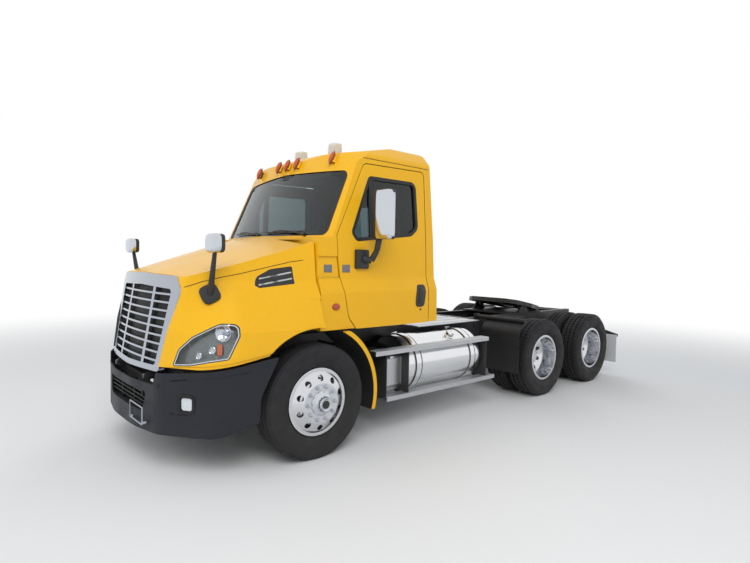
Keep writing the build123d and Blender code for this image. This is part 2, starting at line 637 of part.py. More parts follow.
def headlight_prism(inset=0.0):
    """The headlight's outline, pushed back through the corner of the hood."""
    prism = extrude(Plane.XZ * rounded(HEADLIGHT_ROWS, inset), 900)
    turn = Pos(930, -900, 0) * Rot(0, 0, 38) * Pos(-930, 600, 0)
    return turn * Pos(0, 0, 0) * prism


def arch_cut(radius):
    return bar_x(radius, 600, 1400, 0, AXLE_Z)


def hood_shell():
    shell = hood_volume(0) - hood_volume(HOOD_WALL)
    shell = shell - block(-930, 930, -40, HOOD_REAR + 10, 800, 1925)
    shell = shell - block(-1170, 1170, -40, HOOD_REAR + 10, 800, 1400)
    # The skin ends at a crease, and a strip set in behind it runs on down to the bumper
    strip = hood_volume(LIP_INSET) - hood_volume(LIP_INSET + HOOD_WALL)
    strip = strip & across([(-1400, 815, 0), (-1130, 845, 0), (-690, 914, 0), (-440, 958, 0), (-440, 1000, 0),
                            (-1130, 900, 0), (-1400, 868, 0)], -1300, 1300)
    bottom = across([(-1400, 600, 0), (-1400, 842, 0), (-1130, 874, 0), (-420, 978, 0), (0, 1060, 0),
                     (200, 1060, 0), (200, 600, 0)], -1300, 1300)
    shell = (shell - bottom) + strip
    for cut in both(arch_cut(ARCH_RADIUS)):
        shell = shell - cut
    shell = shell - grille_prism(GRILLE_HALF)
    for cut in both(headlight_prism()):
        shell = shell - cut
    for cut in both(across(VENT_ROWS, 700, 1300)):
        shell = shell - cut
    # A cross tube behind the grille runs over the rails' front ends and carries the two hinge arms
    tube_y, tube_z = RAIL_FRONT + 2, RAIL_TOP + 12
    tube = block(-HOOD_TUBE_REACH, HOOD_TUBE_REACH, tube_y, tube_y + 40, tube_z, tube_z + 40)
    for side in (1, -1):
        x0, x1 = sorted((side * (HOOD_TUBE_REACH - 85), side * HOOD_TUBE_REACH))
        tube = tube + (block(x0, x1, BUMPER_FRONT, tube_y + 10, tube_z, tube_z + 40) & hood_volume(HOOD_WALL / 2))
        x0, x1 = sorted((side * 372, side * 396))
        arm = across([(HINGE_Y - 22, HINGE_Z - 22, 16), (HINGE_Y + 22, HINGE_Z - 22, 16), (RAIL_FRONT - 20, 782, 0),
                      (RAIL_FRONT - 12, RAIL_TOP, 0), (tube_y + 4, tube_z + 2, 0), (tube_y + 4, tube_z + 36, 0),
                      (RAIL_FRONT - 40, tube_z + 36, 0), (RAIL_FRONT - 52, 850, 0), (RAIL_FRONT - 80, 802, 0),
                      (HINGE_Y - 22, HINGE_Z + 22, 16)], x0, x1)
        tube = tube + arm
    for cut in both(headlight_prism()):
        tube = tube - cut
    shell = shell + tube
    for side in (1, -1):
        shell = shell - bar_x(HINGE_PIN_RADIUS + PIN_CLEARANCE, side * 360, side * 405, HINGE_Y, HINGE_Z)
    return shell


def grille():
    """A bowed, leaning surround with its bars, cut from one thin curved shell."""
    lean = 9.5
    radius = 4200
    def bowed(front, back):
        frame = Pos(0, -1222, 806) * Rot(-lean, 0, 0)
        solid = Cylinder(radius - front, 2400) - Cylinder(radius - back, 2600)
        return frame * Pos(0, radius, 400) * solid
    surround = (grille_prism(GRILLE_HALF, SEAT_GAP) - grille_prism(GRILLE_OPENING_HALF)) & bowed(0, 46)
    bars = []
    for i in range(9):
        z = 902 + i * 67.0
        bars.append(block(-640, 640, -1500, -900, z - 8, z + 8))
    for x in (-278, 278):
        bars.append(block(x - 24, x + 24, -1500, -900, 840, 1510))
    grid = fuse(bars) & bowed(10, 34) & grille_prism(GRILLE_OPENING_HALF, -6)
    backing = grille_prism(GRILLE_OPENING_HALF, -14) & bowed(46, 56)
    return surround + grid + backing


def hood_vents():
    volume = hood_volume(2) - hood_volume(26)
    vent = across(VENT_ROWS, 700, 1300, 1.0) & volume
    return both(vent)


def headlights():
    lamp = (hood_volume(1) - hood_volume(70)) & headlight_prism(SEAT_GAP)
    return both(lamp)


def hood_mirror():
    pad = Pos(905, -850, 1455) * Rot(0, 0, 20) * Rot(0, 90, 0) * Cylinder(70, 50)
    arm = block(905, 935, -900, -865, 1440, 1800)
    head = block(890, 1105, -915, -825, 1780, 1930)
    return (pad + arm + head) - hood_volume(-SEAT_GAP)


# Cab: one hollow shape, split where the real panels meet

# Front view, half outline: x, z, corner radius
CAB_HALF = [(0, CAB_BOTTOM, 0), (1082, CAB_BOTTOM, 0), (1086, 1450, 100), (1044, 1575, 100), (1034, BELT_Z, 0),
            (984, 2770, 90), (880, 2890, 150), (600, 2990, 0), (0, 2990, 0)]
# The same side line, run on past the floor and the roof for the doors
CAB_SIDE_HALF = [(0, 800, 0), (1082, 800, 0), (1086, 1450, 100), (1044, 1575, 100), (1034, BELT_Z, 0),
                 (951, 3300, 0), (0, 3300, 0)]
# Side view of the roof: y, z, corner radius
ROOF_ROWS = [(330, 2655, 0), (392, 2748, 60), (560, 2832, 150), (900, 2903, 700), (1230, 2938, 800),
             (1540, 2925, 80), (1545, 2655, 0)]
CROWN_RADIUS = 9000.0
CROWN_TOP = 2938.0
# A ball that rounds off the roof's front corners: along, up and radius
CORNER_BALL = (1300.0, 1542.0, 1694.0)
SEAM_ROWS = [(200, 2650, 0), (500, 2650, 60), (650, 2738, 120), (1700, 2768, 0), (1700, 3100, 0), (200, 3100, 0)]
DOOR_ROWS = [(474, 1104, 20), (383, 1217, 120), (317, 1515, 300), (283, 1761, 300), (271, 1970, 60),
             (610, 2668, 70), (1440, 2684, 50), (1462, 1104, 30)]
WINDOW_ROWS = [(500, 1920, 60), (436, 2000, 60), (668, 2560, 60), (1318, 2566, 80), (1342, 2080, 100),
               (1240, 2000, 120)]
SCREEN_HALF = [(0, 1968, 0), (962, 1968, 60), (940, 2598, 90), (0, 2638, 0)]
RECESS_ROWS = [(0, 1578, 0), (0, 1776, 0), (400, 1776, 0), (400, 1578, 0)]
RECESS_DEPTH = 16.0
REAR_WINDOW_HALF = [(0, 1850, 0), (430, 1850, 60), (430, 2420, 60), (0, 2420, 0)]
ROOF_LAMP_X = (-703.0, -176.0, 0.0, 176.0, 703.0)
ROOF_LAMP_Z = 2720.0
LAMP_RADIUS = 25.0
LAMP_HEIGHT = 66.0
VENT_BOX_PLACES = ((280.0, 800.0), (-370.0, 800.0))
VENT_BOX_SIZE = (120.0, 95.0, 138.0)
VENT_BOX_FOOT = 2855.0
DASH_HALF = 945.0
SILL_Y = (560.0, 1380.0)
TUNNEL_WIDTH = 370.0
TUNNEL_BACK = 690.0
TUNNEL_TOP = 1560.0


def back_y(z):
    """The cab's back leans forward a little towards the top."""
    return CAB_BACK - 60.0 * (z - CAB_BOTTOM) / (2771.0 - CAB_BOTTOM)


def screen_cylinder(inset):
    """The windscreen's surface: a wide upright drum, leaning back."""
    a = radians(SCREEN_SLOPE)
    drum = Cylinder(SCREEN_RADIUS - inset, 6000)
    middle = Pos(0, SCREEN_BASE_Y + SCREEN_RADIUS * cos(a), BELT_Z - SCREEN_RADIUS * sin(a))
    return middle * Rot(-SCREEN_SLOPE, 0, 0) * drum


def cab_volume(inset):
    """The space inside the cab's skin, pulled in by inset at the front, back, sides and top."""
    ring = along(mirrored_rows(CAB_HALF), -200, 1800, inset)
    top = BELT_Z - inset
    low = across([(CAB_FRONT + inset, CAB_BOTTOM + inset, 0), (CAB_FRONT + inset, top, 0),
                  (back_y(top) - inset, top, 0), (back_y(CAB_BOTTOM) - inset, CAB_BOTTOM + inset, 0)], -1200, 1200)
    middle = across([(-200, top - 10, 0), (-200, 2668, 0), (back_y(2668) - inset, 2668, 0),
                     (back_y(top - 10) - inset, top - 10, 0)], -1200, 1200)
    middle = middle & screen_cylinder(inset)
    cap = across(ROOF_ROWS[:-2] + [(back_y(2925), 2925, 80), (back_y(2655), 2655, 0)], -1200, 1200, inset)
    cap = cap & screen_cylinder(inset)
    cap = cap & (Pos(0, 800, CROWN_TOP - inset - CROWN_RADIUS) * Rot(90, 0, 0) * Cylinder(CROWN_RADIUS, 4000))
    # The front of the roof is crowned along its own slope
    (y0, z0, _), (y1, z1, _) = ROOF_ROWS[2:4]
    slope = atan2(z1 - z0, y1 - y0)
    crown = Pos(0, y0, z0 - inset) * Rot(degrees(slope), 0, 0) * Pos(0, 0, -CROWN_RADIUS) * Rot(90, 0, 0)
    cap = cap & (crown * Cylinder(CROWN_RADIUS, 4000))
    ball_y, ball_z, ball_radius = CORNER_BALL
    cap = cap & (Pos(0, ball_y, ball_z) * Sphere(ball_radius - inset))
    if inset:
        cap = cap + across([(560, 2600, 0), (560, 2720, 0), (back_y(2720) - inset, 2720, 0),
                            (back_y(2600) - inset, 2600, 0)], -900, 900)
    return (low + middle + cap) & ring


def cab_walls():
    inner = cab_volume(CAB_WALL)
    shell = cab_volume(0) - inner
    y0, y1 = CAB_FRONT + CAB_WALL, back_y(CAB_BOTTOM) - CAB_WALL
    shell = shell - block(-1030, 1030, y0, y1, CAB_BOTTOM - 10, CAB_BOTTOM + 60)
    return shell


def seam_prism():
    return across(SEAM_ROWS, -1300, 1300)


def doorway(inset):
    return across(DOOR_ROWS, 700, 1300, inset)


def cab_shell(walls):
    shell = walls - seam_prism()
    for cut in both(doorway(-PANEL_GAP)):
        shell = shell - cut
    shell = shell - along(mirrored_rows(SCREEN_HALF), -300, 640)
    shell = shell - along(mirrored_rows(REAR_WINDOW_HALF), 1400, 1800)
    shell = shell - block(-TUNNEL_WIDTH, TUNNEL_WIDTH, -100, 300, 1000, TUNNEL_TOP)
    # A shallow recess in the cowl's side, between the hood and the door
    slab = along(mirrored_rows(CAB_HALF), 0, 500) - along(mirrored_rows(CAB_HALF), -10, 510, RECESS_DEPTH)
    for cut in both(across(RECESS_ROWS, 900, 1200)):
        shell = shell - (slab & cut)
    return shell


def screen_y(x, z):
    """How far back the windscreen's surface is."""
    a = radians(SCREEN_SLOPE)
    sag = SCREEN_RADIUS - (SCREEN_RADIUS ** 2 - x ** 2) ** 0.5
    return SCREEN_BASE_Y + (z - BELT_Z) * tan(a) + sag / cos(a)


def cab_roof(walls):
    """The roof panel with its five marker lamps on the brow and two small vent boxes."""
    parts = [walls & seam_prism()]
    for x in ROOF_LAMP_X:
        lamp = Cylinder(LAMP_RADIUS, LAMP_HEIGHT) + Pos(0, 0, LAMP_HEIGHT / 2) * Cone(LAMP_RADIUS, 6, 22)
        place = Pos(x, screen_y(x, ROOF_LAMP_Z) - LAMP_RADIUS * 0.35, ROOF_LAMP_Z) * Rot(-SCREEN_SLOPE, 0, 0)
        parts.append(place * lamp)
    for x, y in VENT_BOX_PLACES:
        box = extrude(RectangleRounded(*VENT_BOX_SIZE[:2], 18), VENT_BOX_SIZE[2])
        parts.append(Pos(x, y, VENT_BOX_FOOT) * box)
    return fuse(parts)


def cab_floor():
    front = CAB_FRONT + CAB_WALL + SEAT_GAP
    back = back_y(CAB_BOTTOM) - CAB_WALL - 4
    wide = TUNNEL_WIDTH - SEAT_GAP
    plate = block(-1012, 1012, front, back, CAB_BOTTOM, CAB_BOTTOM + FLOOR_THICKNESS)
    hump = block(-wide, wide, CAB_FRONT, TUNNEL_BACK, CAB_BOTTOM, TUNNEL_TOP - SEAT_GAP)
    hollow = block(-wide + 22, wide - 22, CAB_FRONT - 50, TUNNEL_BACK - 22, CAB_BOTTOM - 50, TUNNEL_TOP - 22)
    floor = (plate + hump) - hollow
    feet = [block(s * 392 - 38, s * 392 + 38, y, y + 90, RAIL_TOP + SEAT_GAP, CAB_BOTTOM + 1)
            for s in (1, -1) for y in (760, 1440)]
    # Sill seals reach out to the doors' inner faces
    sill = block(1000, 1100, SILL_Y[0], SILL_Y[1], CAB_BOTTOM + 8, CAB_BOTTOM + FLOOR_THICKNESS)
    sill = sill & along(mirrored_rows(CAB_SIDE_HALF), 0, 1700, DOOR_WALL + SEAT_GAP)
    return fuse([floor] + feet + both(sill))


def cab_glass():
    screen = (screen_cylinder(10) - screen_cylinder(10 + GLASS_WALL))
    screen = screen & along(mirrored_rows(SCREEN_HALF), -300, 700, SEAT_GAP)
    y = back_y(2135) - 25
    rear = along(mirrored_rows(REAR_WINDOW_HALF), y, y + GLASS_WALL, SEAT_GAP)
    return [screen, rear]


def side_skin(outer, inner):
    """A slab that follows the cab's side between two depths under its surface."""
    rows = mirrored_rows(CAB_SIDE_HALF)
    return (along(rows, 0, 1700, outer) if outer else along(rows, 0, 1700)) - along(rows, -10, 1710, inner)


def door():
    """An outer skin that fills the doorway, on an inner frame that is stepped in to swing clear of the jamb."""
    skin = side_skin(0, DOOR_SKIN) & doorway(0)
    frame = side_skin(DOOR_SKIN - 1, DOOR_WALL) & doorway(DOOR_STEP)
    return (skin + frame) - across(WINDOW_ROWS, 600, 1400)


def door_glass():
    return side_skin(20, 20 + GLASS_WALL) & across(WINDOW_ROWS, 700, 1300, SEAT_GAP)


def door_mirror():
    pad = across([(468, 1662, 12), (632, 1662, 12), (632, 1848, 12), (468, 1848, 12)], 1020, 1075)
    pad = pad - along(mirrored_rows(CAB_SIDE_HALF), 300, 800, -SEAT_GAP)
    arm = across([(560, 1700, 0), (625, 1700, 0), (650, 1790, 0), (590, 1790, 0)], 1070, 1112)
    link = Pos(0, 0, 0) * across([(590, 1760, 0), (650, 1760, 0), (672, 1960, 0), (628, 1960, 0)], 1100, 1180)
    head = along([(1132, 1940, 30), (1362, 1940, 30), (1362, 2402, 30), (1132, 2402, 30)], 600, 700)
    return fuse([pad, arm, link, head])


def dashboard(inner):
    front = CAB_FRONT + CAB_WALL + PANEL_GAP
    body = across([(front, TUNNEL_TOP + SEAT_GAP, 0), (front, 1952, 0), (330, 1952, 30), (470, 1910, 60),
                   (530, 1800, 40), (420, 1600, 40), (400, TUNNEL_TOP + SEAT_GAP, 0)], -DASH_HALF, DASH_HALF)
    body = body & inner
    column = Pos(500, 560, 1700) * Rot(60, 0, 0) * Cylinder(32, 240)
    ring = Pos(500, 655, 1752) * Rot(60, 0, 0) * Torus(225, 17)
    spoke = Pos(500, 655, 1752) * Rot(60, 0, 0) * (Box(440, 46, 16) + Pos(0, -105, 0) * Box(46, 220, 16)
                                                   + Cylinder(62, 34))
    return fuse([body, column, ring, spoke])


def seat():
    x = 500
    low = CAB_BOTTOM + FLOOR_THICKNESS + SEAT_GAP
    base = block(x - 200, x + 200, 900, 1280, low, 1440)
    cushion = across([(840, 1440, 30), (1370, 1440, 20), (1370, 1560, 40), (840, 1585, 50)], x - 260, x + 260)
    back = across([(1270, 1540, 20), (1400, 1540, 20), (1478, 2180, 40), (1376, 2180, 50)], x - 250, x + 250)
    rest = across([(1384, 2170, 10), (1470, 2170, 10), (1492, 2370, 35), (1412, 2370, 35)], x - 140, x + 140)
    return fuse([base, cushion, back, rest])


def main():
    os.makedirs("parts", exist_ok=True)
    write("frame_ladder", frame_ladder())
    write("engine_block", *engine_block())
    write("front_axle", front_axle())
    write("drive_axles", driveline())
    write("drive_suspension", *drive_suspension())
    write("fuel_tanks", *both(fuel_tank()))
    write("side_steps", *both(side_step()))
    write("battery_boxes", *both(battery_box()))
    write("deck_plate", deck_plate())
    write("fifth_wheel_base", fifth_wheel_base())
    write("fifth_wheel_plate", fifth_wheel_plate())
    write("quarter_fenders", *both(quarter_fender()))
    write("mud_flaps", *both(mud_flap()))
    write("splash_guards", *both(splash_guard()))
    write("bumper", bumper())
    write("fog_lamps", *both(fog_lamp()))
    write("hood_shell", hood_shell())
    write("grille", grille(), *hood_vents())
    write("headlights", *headlights())
    write("hood_mirrors", *both(hood_mirror()))
    walls = cab_walls()
    write("cab_shell", cab_shell(walls))
    write("cab_roof", cab_roof(walls))
    write("cab_floor", cab_floor())
    write("cab_glass", *cab_glass())
    write("dashboard", dashboard(cab_volume(CAB_WALL + PANEL_GAP)))
    write("seats", *both(seat()))
    for name, side in (("left", 1), ("right", -1)):
        turn = (lambda s: s) if side > 0 else other_side
        write("door_" + name, turn(door()))
        write("door_glass_" + name, turn(door_glass()))
        write("door_mirror_" + name, turn(door_mirror()))
        write("knuckle_" + name, turn(knuckle()))
        write("front_wheel_" + name, turn(front_wheel()))
        write("front_tyre_" + name, turn(tyre(FRONT_TYRE_X, 0)))
        for place, y in zip(("forward", "rear"), DRIVE_AXLE_Y):
            write("drive_wheels_" + place + "_" + name, turn(drive_wheels(y)))
            tyres = [tyre(DUAL_CENTRE_X + WHEEL_OUTSET, y), tyre(DUAL_CENTRE_X - WHEEL_OUTSET, y)]
            write("drive_tyres_" + place + "_" + name, *[turn(t) for t in tyres])
    write("tie_rod", tie_rod())


main()
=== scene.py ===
# %% [markdown]
# A yellow day-cab tractor unit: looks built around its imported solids
#
# Every panel, wheel and bracket already exists at its real size. This lesson gives each one its
# finish, then adds the pieces that are too fine for the solids: tread, nuts, seals, lamps, wipers,
# handles and seats. All sizes are metres. Minus Y is forwards, plus X is the driver's side.

# %% Load the frame
import bpy
import bmesh
import math
from math import cos, pi, radians, sin
from mathutils import Matrix, Vector


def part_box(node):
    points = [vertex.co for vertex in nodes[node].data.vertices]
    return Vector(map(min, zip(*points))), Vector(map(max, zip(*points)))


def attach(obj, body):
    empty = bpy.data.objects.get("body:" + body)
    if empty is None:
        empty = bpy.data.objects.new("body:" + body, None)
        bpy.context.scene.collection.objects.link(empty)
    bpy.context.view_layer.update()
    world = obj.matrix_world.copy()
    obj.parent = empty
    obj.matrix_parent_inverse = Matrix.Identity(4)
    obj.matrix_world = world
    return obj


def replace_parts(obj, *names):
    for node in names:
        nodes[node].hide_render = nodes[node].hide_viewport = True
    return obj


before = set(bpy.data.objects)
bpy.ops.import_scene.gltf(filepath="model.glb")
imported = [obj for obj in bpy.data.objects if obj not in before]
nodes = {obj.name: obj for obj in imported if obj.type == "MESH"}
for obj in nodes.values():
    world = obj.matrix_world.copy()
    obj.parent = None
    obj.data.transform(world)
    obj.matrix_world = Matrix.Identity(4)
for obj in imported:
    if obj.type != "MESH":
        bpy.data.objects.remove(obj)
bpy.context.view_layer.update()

# %% [markdown]
# Driving dimensions
#
# The frame's own boxes give most places. The few numbers that a new piece needs are named in its own
# cell, measured from the front axle and moved into the frame by its place along the truck.

# %% Driving dimensions
tyre_low, tyre_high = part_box("front_tyre_left")
FRONT_AXLE_Y = (tyre_low.y + tyre_high.y) / 2
AXLE_Z = (tyre_low.z + tyre_high.z) / 2
TYRE_RADIUS = (tyre_high.z - tyre_low.z) / 2
TYRE_HALF_WIDTH = (tyre_high.x - tyre_low.x) / 2
SIDES = (("left", 1), ("right", -1))
UP, REARWARDS = Vector((0, 0, 1)), Vector((0, 1, 0))


def at(x, y, z):
    """A point given from the front axle."""
    return Vector((x, y + FRONT_AXLE_Y, z))


print("front axle at y", round(FRONT_AXLE_Y, 4), "tyre radius", round(TYRE_RADIUS, 4))

# %% [markdown]
# Helpers for meshes
#
# Each new piece starts as a bmesh made by operators, is finished by a small bevel or a modifier,
# and is then given its material and its body by one call, which prints what it made. A piece
# that both sides have can be made for the left, and that call then moves it to the right.

# %% Helpers for meshes
def new_piece(name, bm, material, body, smooth_angle=35.0, flip=False):
    """Turn a bmesh into a finished piece that rides on a body, on the truck's other side if asked."""
    if flip:
        bmesh.ops.scale(bm, vec=(-1, 1, 1), verts=bm.verts)
    bmesh.ops.remove_doubles(bm, verts=bm.verts, dist=1e-6)
    bmesh.ops.recalc_face_normals(bm, faces=bm.faces)
    mesh = bpy.data.meshes.new(name)
    bm.to_mesh(mesh)
    bm.free()
    piece = bpy.data.objects.new(name, mesh)
    bpy.context.scene.collection.objects.link(piece)
    mesh.materials.append(material)
    for polygon in mesh.polygons:
        polygon.use_smooth = True
    mesh.set_sharp_from_angle(angle=radians(smooth_angle))
    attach(piece, body)
    print(name, "on", body, "with", len(mesh.polygons), "faces")
    return piece


def round_edges(bm, edges, bevel, segments):
    return bmesh.ops.bevel(bm, geom=list(edges), offset=bevel, segments=segments, affect="EDGES",
                           profile=0.5, material=-1)["verts"]


def add_box(bm, low, high, bevel=0.0, segments=2):
    """A box between two corners, with its edges rounded if asked."""
    low, high = Vector(low), Vector(high)
    made = bmesh.ops.create_cube(bm, size=1.0)["verts"]
    bmesh.ops.scale(bm, vec=high - low, verts=made)
    bmesh.ops.translate(bm, vec=(low + high) / 2, verts=made)
    if bevel:
        made = round_edges(bm, {e for v in made for e in v.link_edges}, bevel, segments)
    return made


def box_at(x, half, y, z):
    """The corners of a box: its middle and half width across, then its two ends along and upwards."""
    return at(x - half, y[0], z[0]), at(x + half, y[1], z[1])


def add_cylinder(bm, start, end, radius, sides=24, end_radius=None, bevel=0.0):
    """A round bar between two points, or a cone if its end radius differs."""
    start, end = Vector(start), Vector(end)
    way = end - start
    turn = UP.rotation_difference(way).to_matrix().to_4x4()
    place = Matrix.Translation((start + end) / 2) @ turn
    r2 = radius if end_radius is None else end_radius
    made = bmesh.ops.create_cone(bm, cap_ends=True, segments=sides, radius1=radius, radius2=r2,
                                 depth=way.length, matrix=place)["verts"]
    if bevel:
        caps = [f for f in {f for v in made for f in v.link_faces} if len(f.verts) > 4]
        made = round_edges(bm, {e for f in caps for e in f.edges}, bevel, 2)
    return made


def spin_outline(bm, verts, centre, way, steps, closed=False):
    """Join points into an outline and spin it once round an axle."""
    ends = verts[1:] + (verts[:1] if closed else [])
    edges = [bm.edges.new(pair) for pair in zip(verts, ends)]
    bmesh.ops.spin(bm, geom=verts + edges, cent=centre, axis=way, dvec=(0, 0, 0), angle=2 * pi,
                   steps=steps, use_merge=True, use_duplicate=False)


def add_ring(bm, rows, centre, way, steps):
    """Spin an outline of (along, radius) rows about a level axle through centre."""
    centre = Vector(centre)
    spin_outline(bm, [bm.verts.new(centre + way * u + UP * r) for u, r in rows], centre, way, steps)


def add_loose(bm, own):
    """Move what a bmesh of its own holds into bm, and return it there."""
    mesh = bpy.data.meshes.new("loose")
    own.to_mesh(mesh)
    own.free()
    count = len(bm.verts)
    bm.from_mesh(mesh)
    bpy.data.meshes.remove(mesh)
    bm.verts.ensure_lookup_table()
    return bm.verts[count:]


def add_turned(bm, rows, place, steps=40):
    """Spin (along, radius) rows about an axle, with the axle's place and direction given by a matrix."""
    own = bmesh.new()
    spin_outline(own, [own.verts.new((r, 0, u)) for u, r in rows], (0, 0, 0), UP, steps)
    bmesh.ops.transform(own, matrix=place, verts=own.verts)
    add_loose(bm, own)


def add_soft_box(bm, low, high, power=5.0, cuts=10):
    """A box whose sides swell into each other: a high power leaves it squarer."""
    low, high = Vector(low), Vector(high)
    own = bmesh.new()
    bmesh.ops.create_cube(own, size=2.0)
    bmesh.ops.subdivide_edges(own, edges=own.edges[:], cuts=cuts, use_grid_fill=True)
    for v in own.verts:
        v.co /= sum(abs(c) ** power for c in v.co) ** (1.0 / power)
    bmesh.ops.scale(own, vec=(high - low) / 2, verts=own.verts)
    bmesh.ops.translate(own, vec=(low + high) / 2, verts=own.verts)
    return add_loose(bm, own)


def add_bead(bm, points, radius, sides=8):
    """A thin round bead through a list of points."""
    for a, b in zip(points, points[1:]):
        add_cylinder(bm, a, b, radius, sides)


def turned_to(point, normal):
    """A matrix that stands things on a point with their Z along a normal."""
    turn = UP.rotation_difference(normal).to_matrix().to_4x4()
    turn.translation = point
    return turn


def mirror_copy(bm):
    """Add the mirror image of everything made so far, on the other side of the truck."""
    bmesh.ops.mirror(bm, geom=bm.verts[:] + bm.edges[:] + bm.faces[:], matrix=Matrix.Identity(4),
                     merge_dist=-1, axis="X")


def cut_behind(bm, y):
    """Cut away what lies behind a place along the truck, and leave the cut open."""
    bmesh.ops.bisect_plane(bm, geom=bm.verts[:] + bm.edges[:] + bm.faces[:], dist=1e-6,
                           plane_co=(0, y, 0), plane_no=REARWARDS, clear_outer=True)


# %% [markdown]
# Shader groups that several finishes share
#
# Real surfaces are never one flat value. Three groups with named inputs give every finish its own
# amount of the same effects: slow mottling of gloss, fine grain for the bump, and dust low down.

# %% Shader groups
def group_of(name, inputs, output, kind="NodeSocketFloat"):
    """A node group with number inputs and one output."""
    group = bpy.data.node_groups.new(name, "ShaderNodeTree")
    for label, value in inputs.items():
        socket = group.interface.new_socket(name=label, in_out="INPUT", socket_type="NodeSocketFloat")
        socket.default_value = value
    group.interface.new_socket(name=output, in_out="OUTPUT", socket_type=kind)
    return group, group.nodes.new("NodeGroupInput").outputs, group.nodes.new("NodeGroupOutput").inputs


def add_node(tree, kind, sockets=None, **settings):
    """A shader node whose sockets are each set to a value, or joined to another node's output."""
    made = tree.nodes.new("ShaderNode" + kind)
    for label, value in settings.items():
        setattr(made, label, value)
    for label, value in (sockets or {}).items():
        if isinstance(value, bpy.types.NodeSocket):
            tree.links.new(value, made.inputs[label])
        else:
            made.inputs[label].default_value = value
    return made


def build_mottle():
    """Slow cloudy variation between a low and a high value."""
    group, given, result = group_of("mottle", {"Scale": 3.0, "Low": 0.2, "High": 0.3}, "Value")
    place = add_node(group, "TexCoord").outputs["Object"]
    noise = add_node(group, "TexNoise", {"Vector": place, "Scale": given["Scale"], "Detail": 5.0})
    spread = add_node(group, "MapRange", {"Value": noise.outputs["Fac"], "From Min": 0.35, "From Max": 0.65,
                                          "To Min": given["Low"], "To Max": given["High"]})
    group.links.new(spread.outputs["Result"], result["Value"])
    return group


def build_grain():
    """Fine grain for the bump of cast, moulded and sprayed surfaces."""
    group, given, result = group_of("grain", {"Scale": 300.0, "Strength": 0.1, "Distance": 0.001}, "Normal",
                                    kind="NodeSocketVector")
    place = add_node(group, "TexCoord").outputs["Object"]
    noise = add_node(group, "TexNoise", {"Vector": place, "Scale": given["Scale"], "Detail": 2.0})
    bump = add_node(group, "Bump", {"Height": noise.outputs["Fac"], "Strength": given["Strength"],
                                    "Distance": given["Distance"]})
    group.links.new(bump.outputs["Normal"], result["Normal"])
    return group


def build_road_dust():
    """A mask of pale dust that is thick near the ground and thins out upwards, in patches."""
    group, given, result = group_of("road dust", {"Top": 1.0, "Amount": 0.3}, "Mask")
    place = add_node(group, "TexCoord").outputs["Object"]
    noise = add_node(group, "TexNoise", {"Vector": place, "Scale": 7.0, "Detail": 6.0})
    split = add_node(group, "SeparateXYZ", {"Vector": place})
    low = add_node(group, "MapRange", {"Value": split.outputs["Z"], "From Max": given["Top"],
                                       "To Min": 1.0, "To Max": 0.0})
    patches = add_node(group, "Math", {0: low.outputs["Result"], 1: noise.outputs["Fac"]},
                       operation="MULTIPLY")
    amount = add_node(group, "Math", {0: patches.outputs["Value"], 1: given["Amount"]}, operation="MULTIPLY")
    group.links.new(amount.outputs["Value"], result["Mask"])
    return group


MOTTLE, GRAIN, ROAD_DUST = build_mottle(), build_grain(), build_road_dust()
print("shader groups", [g.name for g in (MOTTLE, GRAIN, ROAD_DUST)])

# %% [markdown]
# Plain finishes
#
# Most finishes on a truck are one colour whose gloss wanders slowly and whose surface has a fine
# grain. One builder makes them all from named values, so they differ only where the real ones do.

# %% Plain finishes
DUST_COLOUR, COAT_GLOSS = (0.42, 0.38, 0.33, 1), 0.04
# The colour sockets of a Mix node: it has others of the same names for plain numbers
MIX_FACTOR, MIX_A, MIX_B, MIX_RESULT = 0, 6, 7, 2


def new_material(name, sockets):
    """A material whose Principled shader has these sockets set."""
    material = bpy.data.materials.new(name)
    material.use_nodes = True
    shader = material.node_tree.nodes["Principled BSDF"]
    for label, value in sockets.items():
        shader.inputs[label].default_value = value
    return material, material.node_tree, shader


def finish(name, colour, metal=0.0, gloss=(0.25, 0.35), patch=3.0, grain=None, coat=0.0, dust=None,
           specular=0.5):
    """A Principled material with wandering roughness, fine bump, and dust low down if asked."""
    colour = (*colour, 1)
    material, tree, shader = new_material(name, {
        "Base Color": colour, "Metallic": metal, "Coat Weight": coat, "Coat Roughness": COAT_GLOSS,
        "Specular IOR Level": specular})
    mottle = add_node(tree, "Group", node_tree=MOTTLE)
    for label, value in zip(("Scale", "Low", "High"), (patch, *gloss)):
        mottle.inputs[label].default_value = value
    tree.links.new(mottle.outputs["Value"], shader.inputs["Roughness"])
    if grain:
        bump = add_node(tree, "Group", node_tree=GRAIN)
        for label, value in zip(("Scale", "Strength", "Distance"), grain):
            bump.inputs[label].default_value = value
        tree.links.new(bump.outputs["Normal"], shader.inputs["Normal"])
    if dust:
        mask = add_node(tree, "Group", node_tree=ROAD_DUST)
        mask.inputs["Top"].default_value, mask.inputs["Amount"].default_value = dust
        blend = add_node(tree, "Mix", data_type="RGBA")
        blend.inputs[MIX_A].default_value = colour
        blend.inputs[MIX_B].default_value = DUST_COLOUR
        tree.links.new(mask.outputs["Mask"], blend.inputs[MIX_FACTOR])
        tree.links.new(blend.outputs[MIX_RESULT], shader.inputs["Base Color"])
    return material


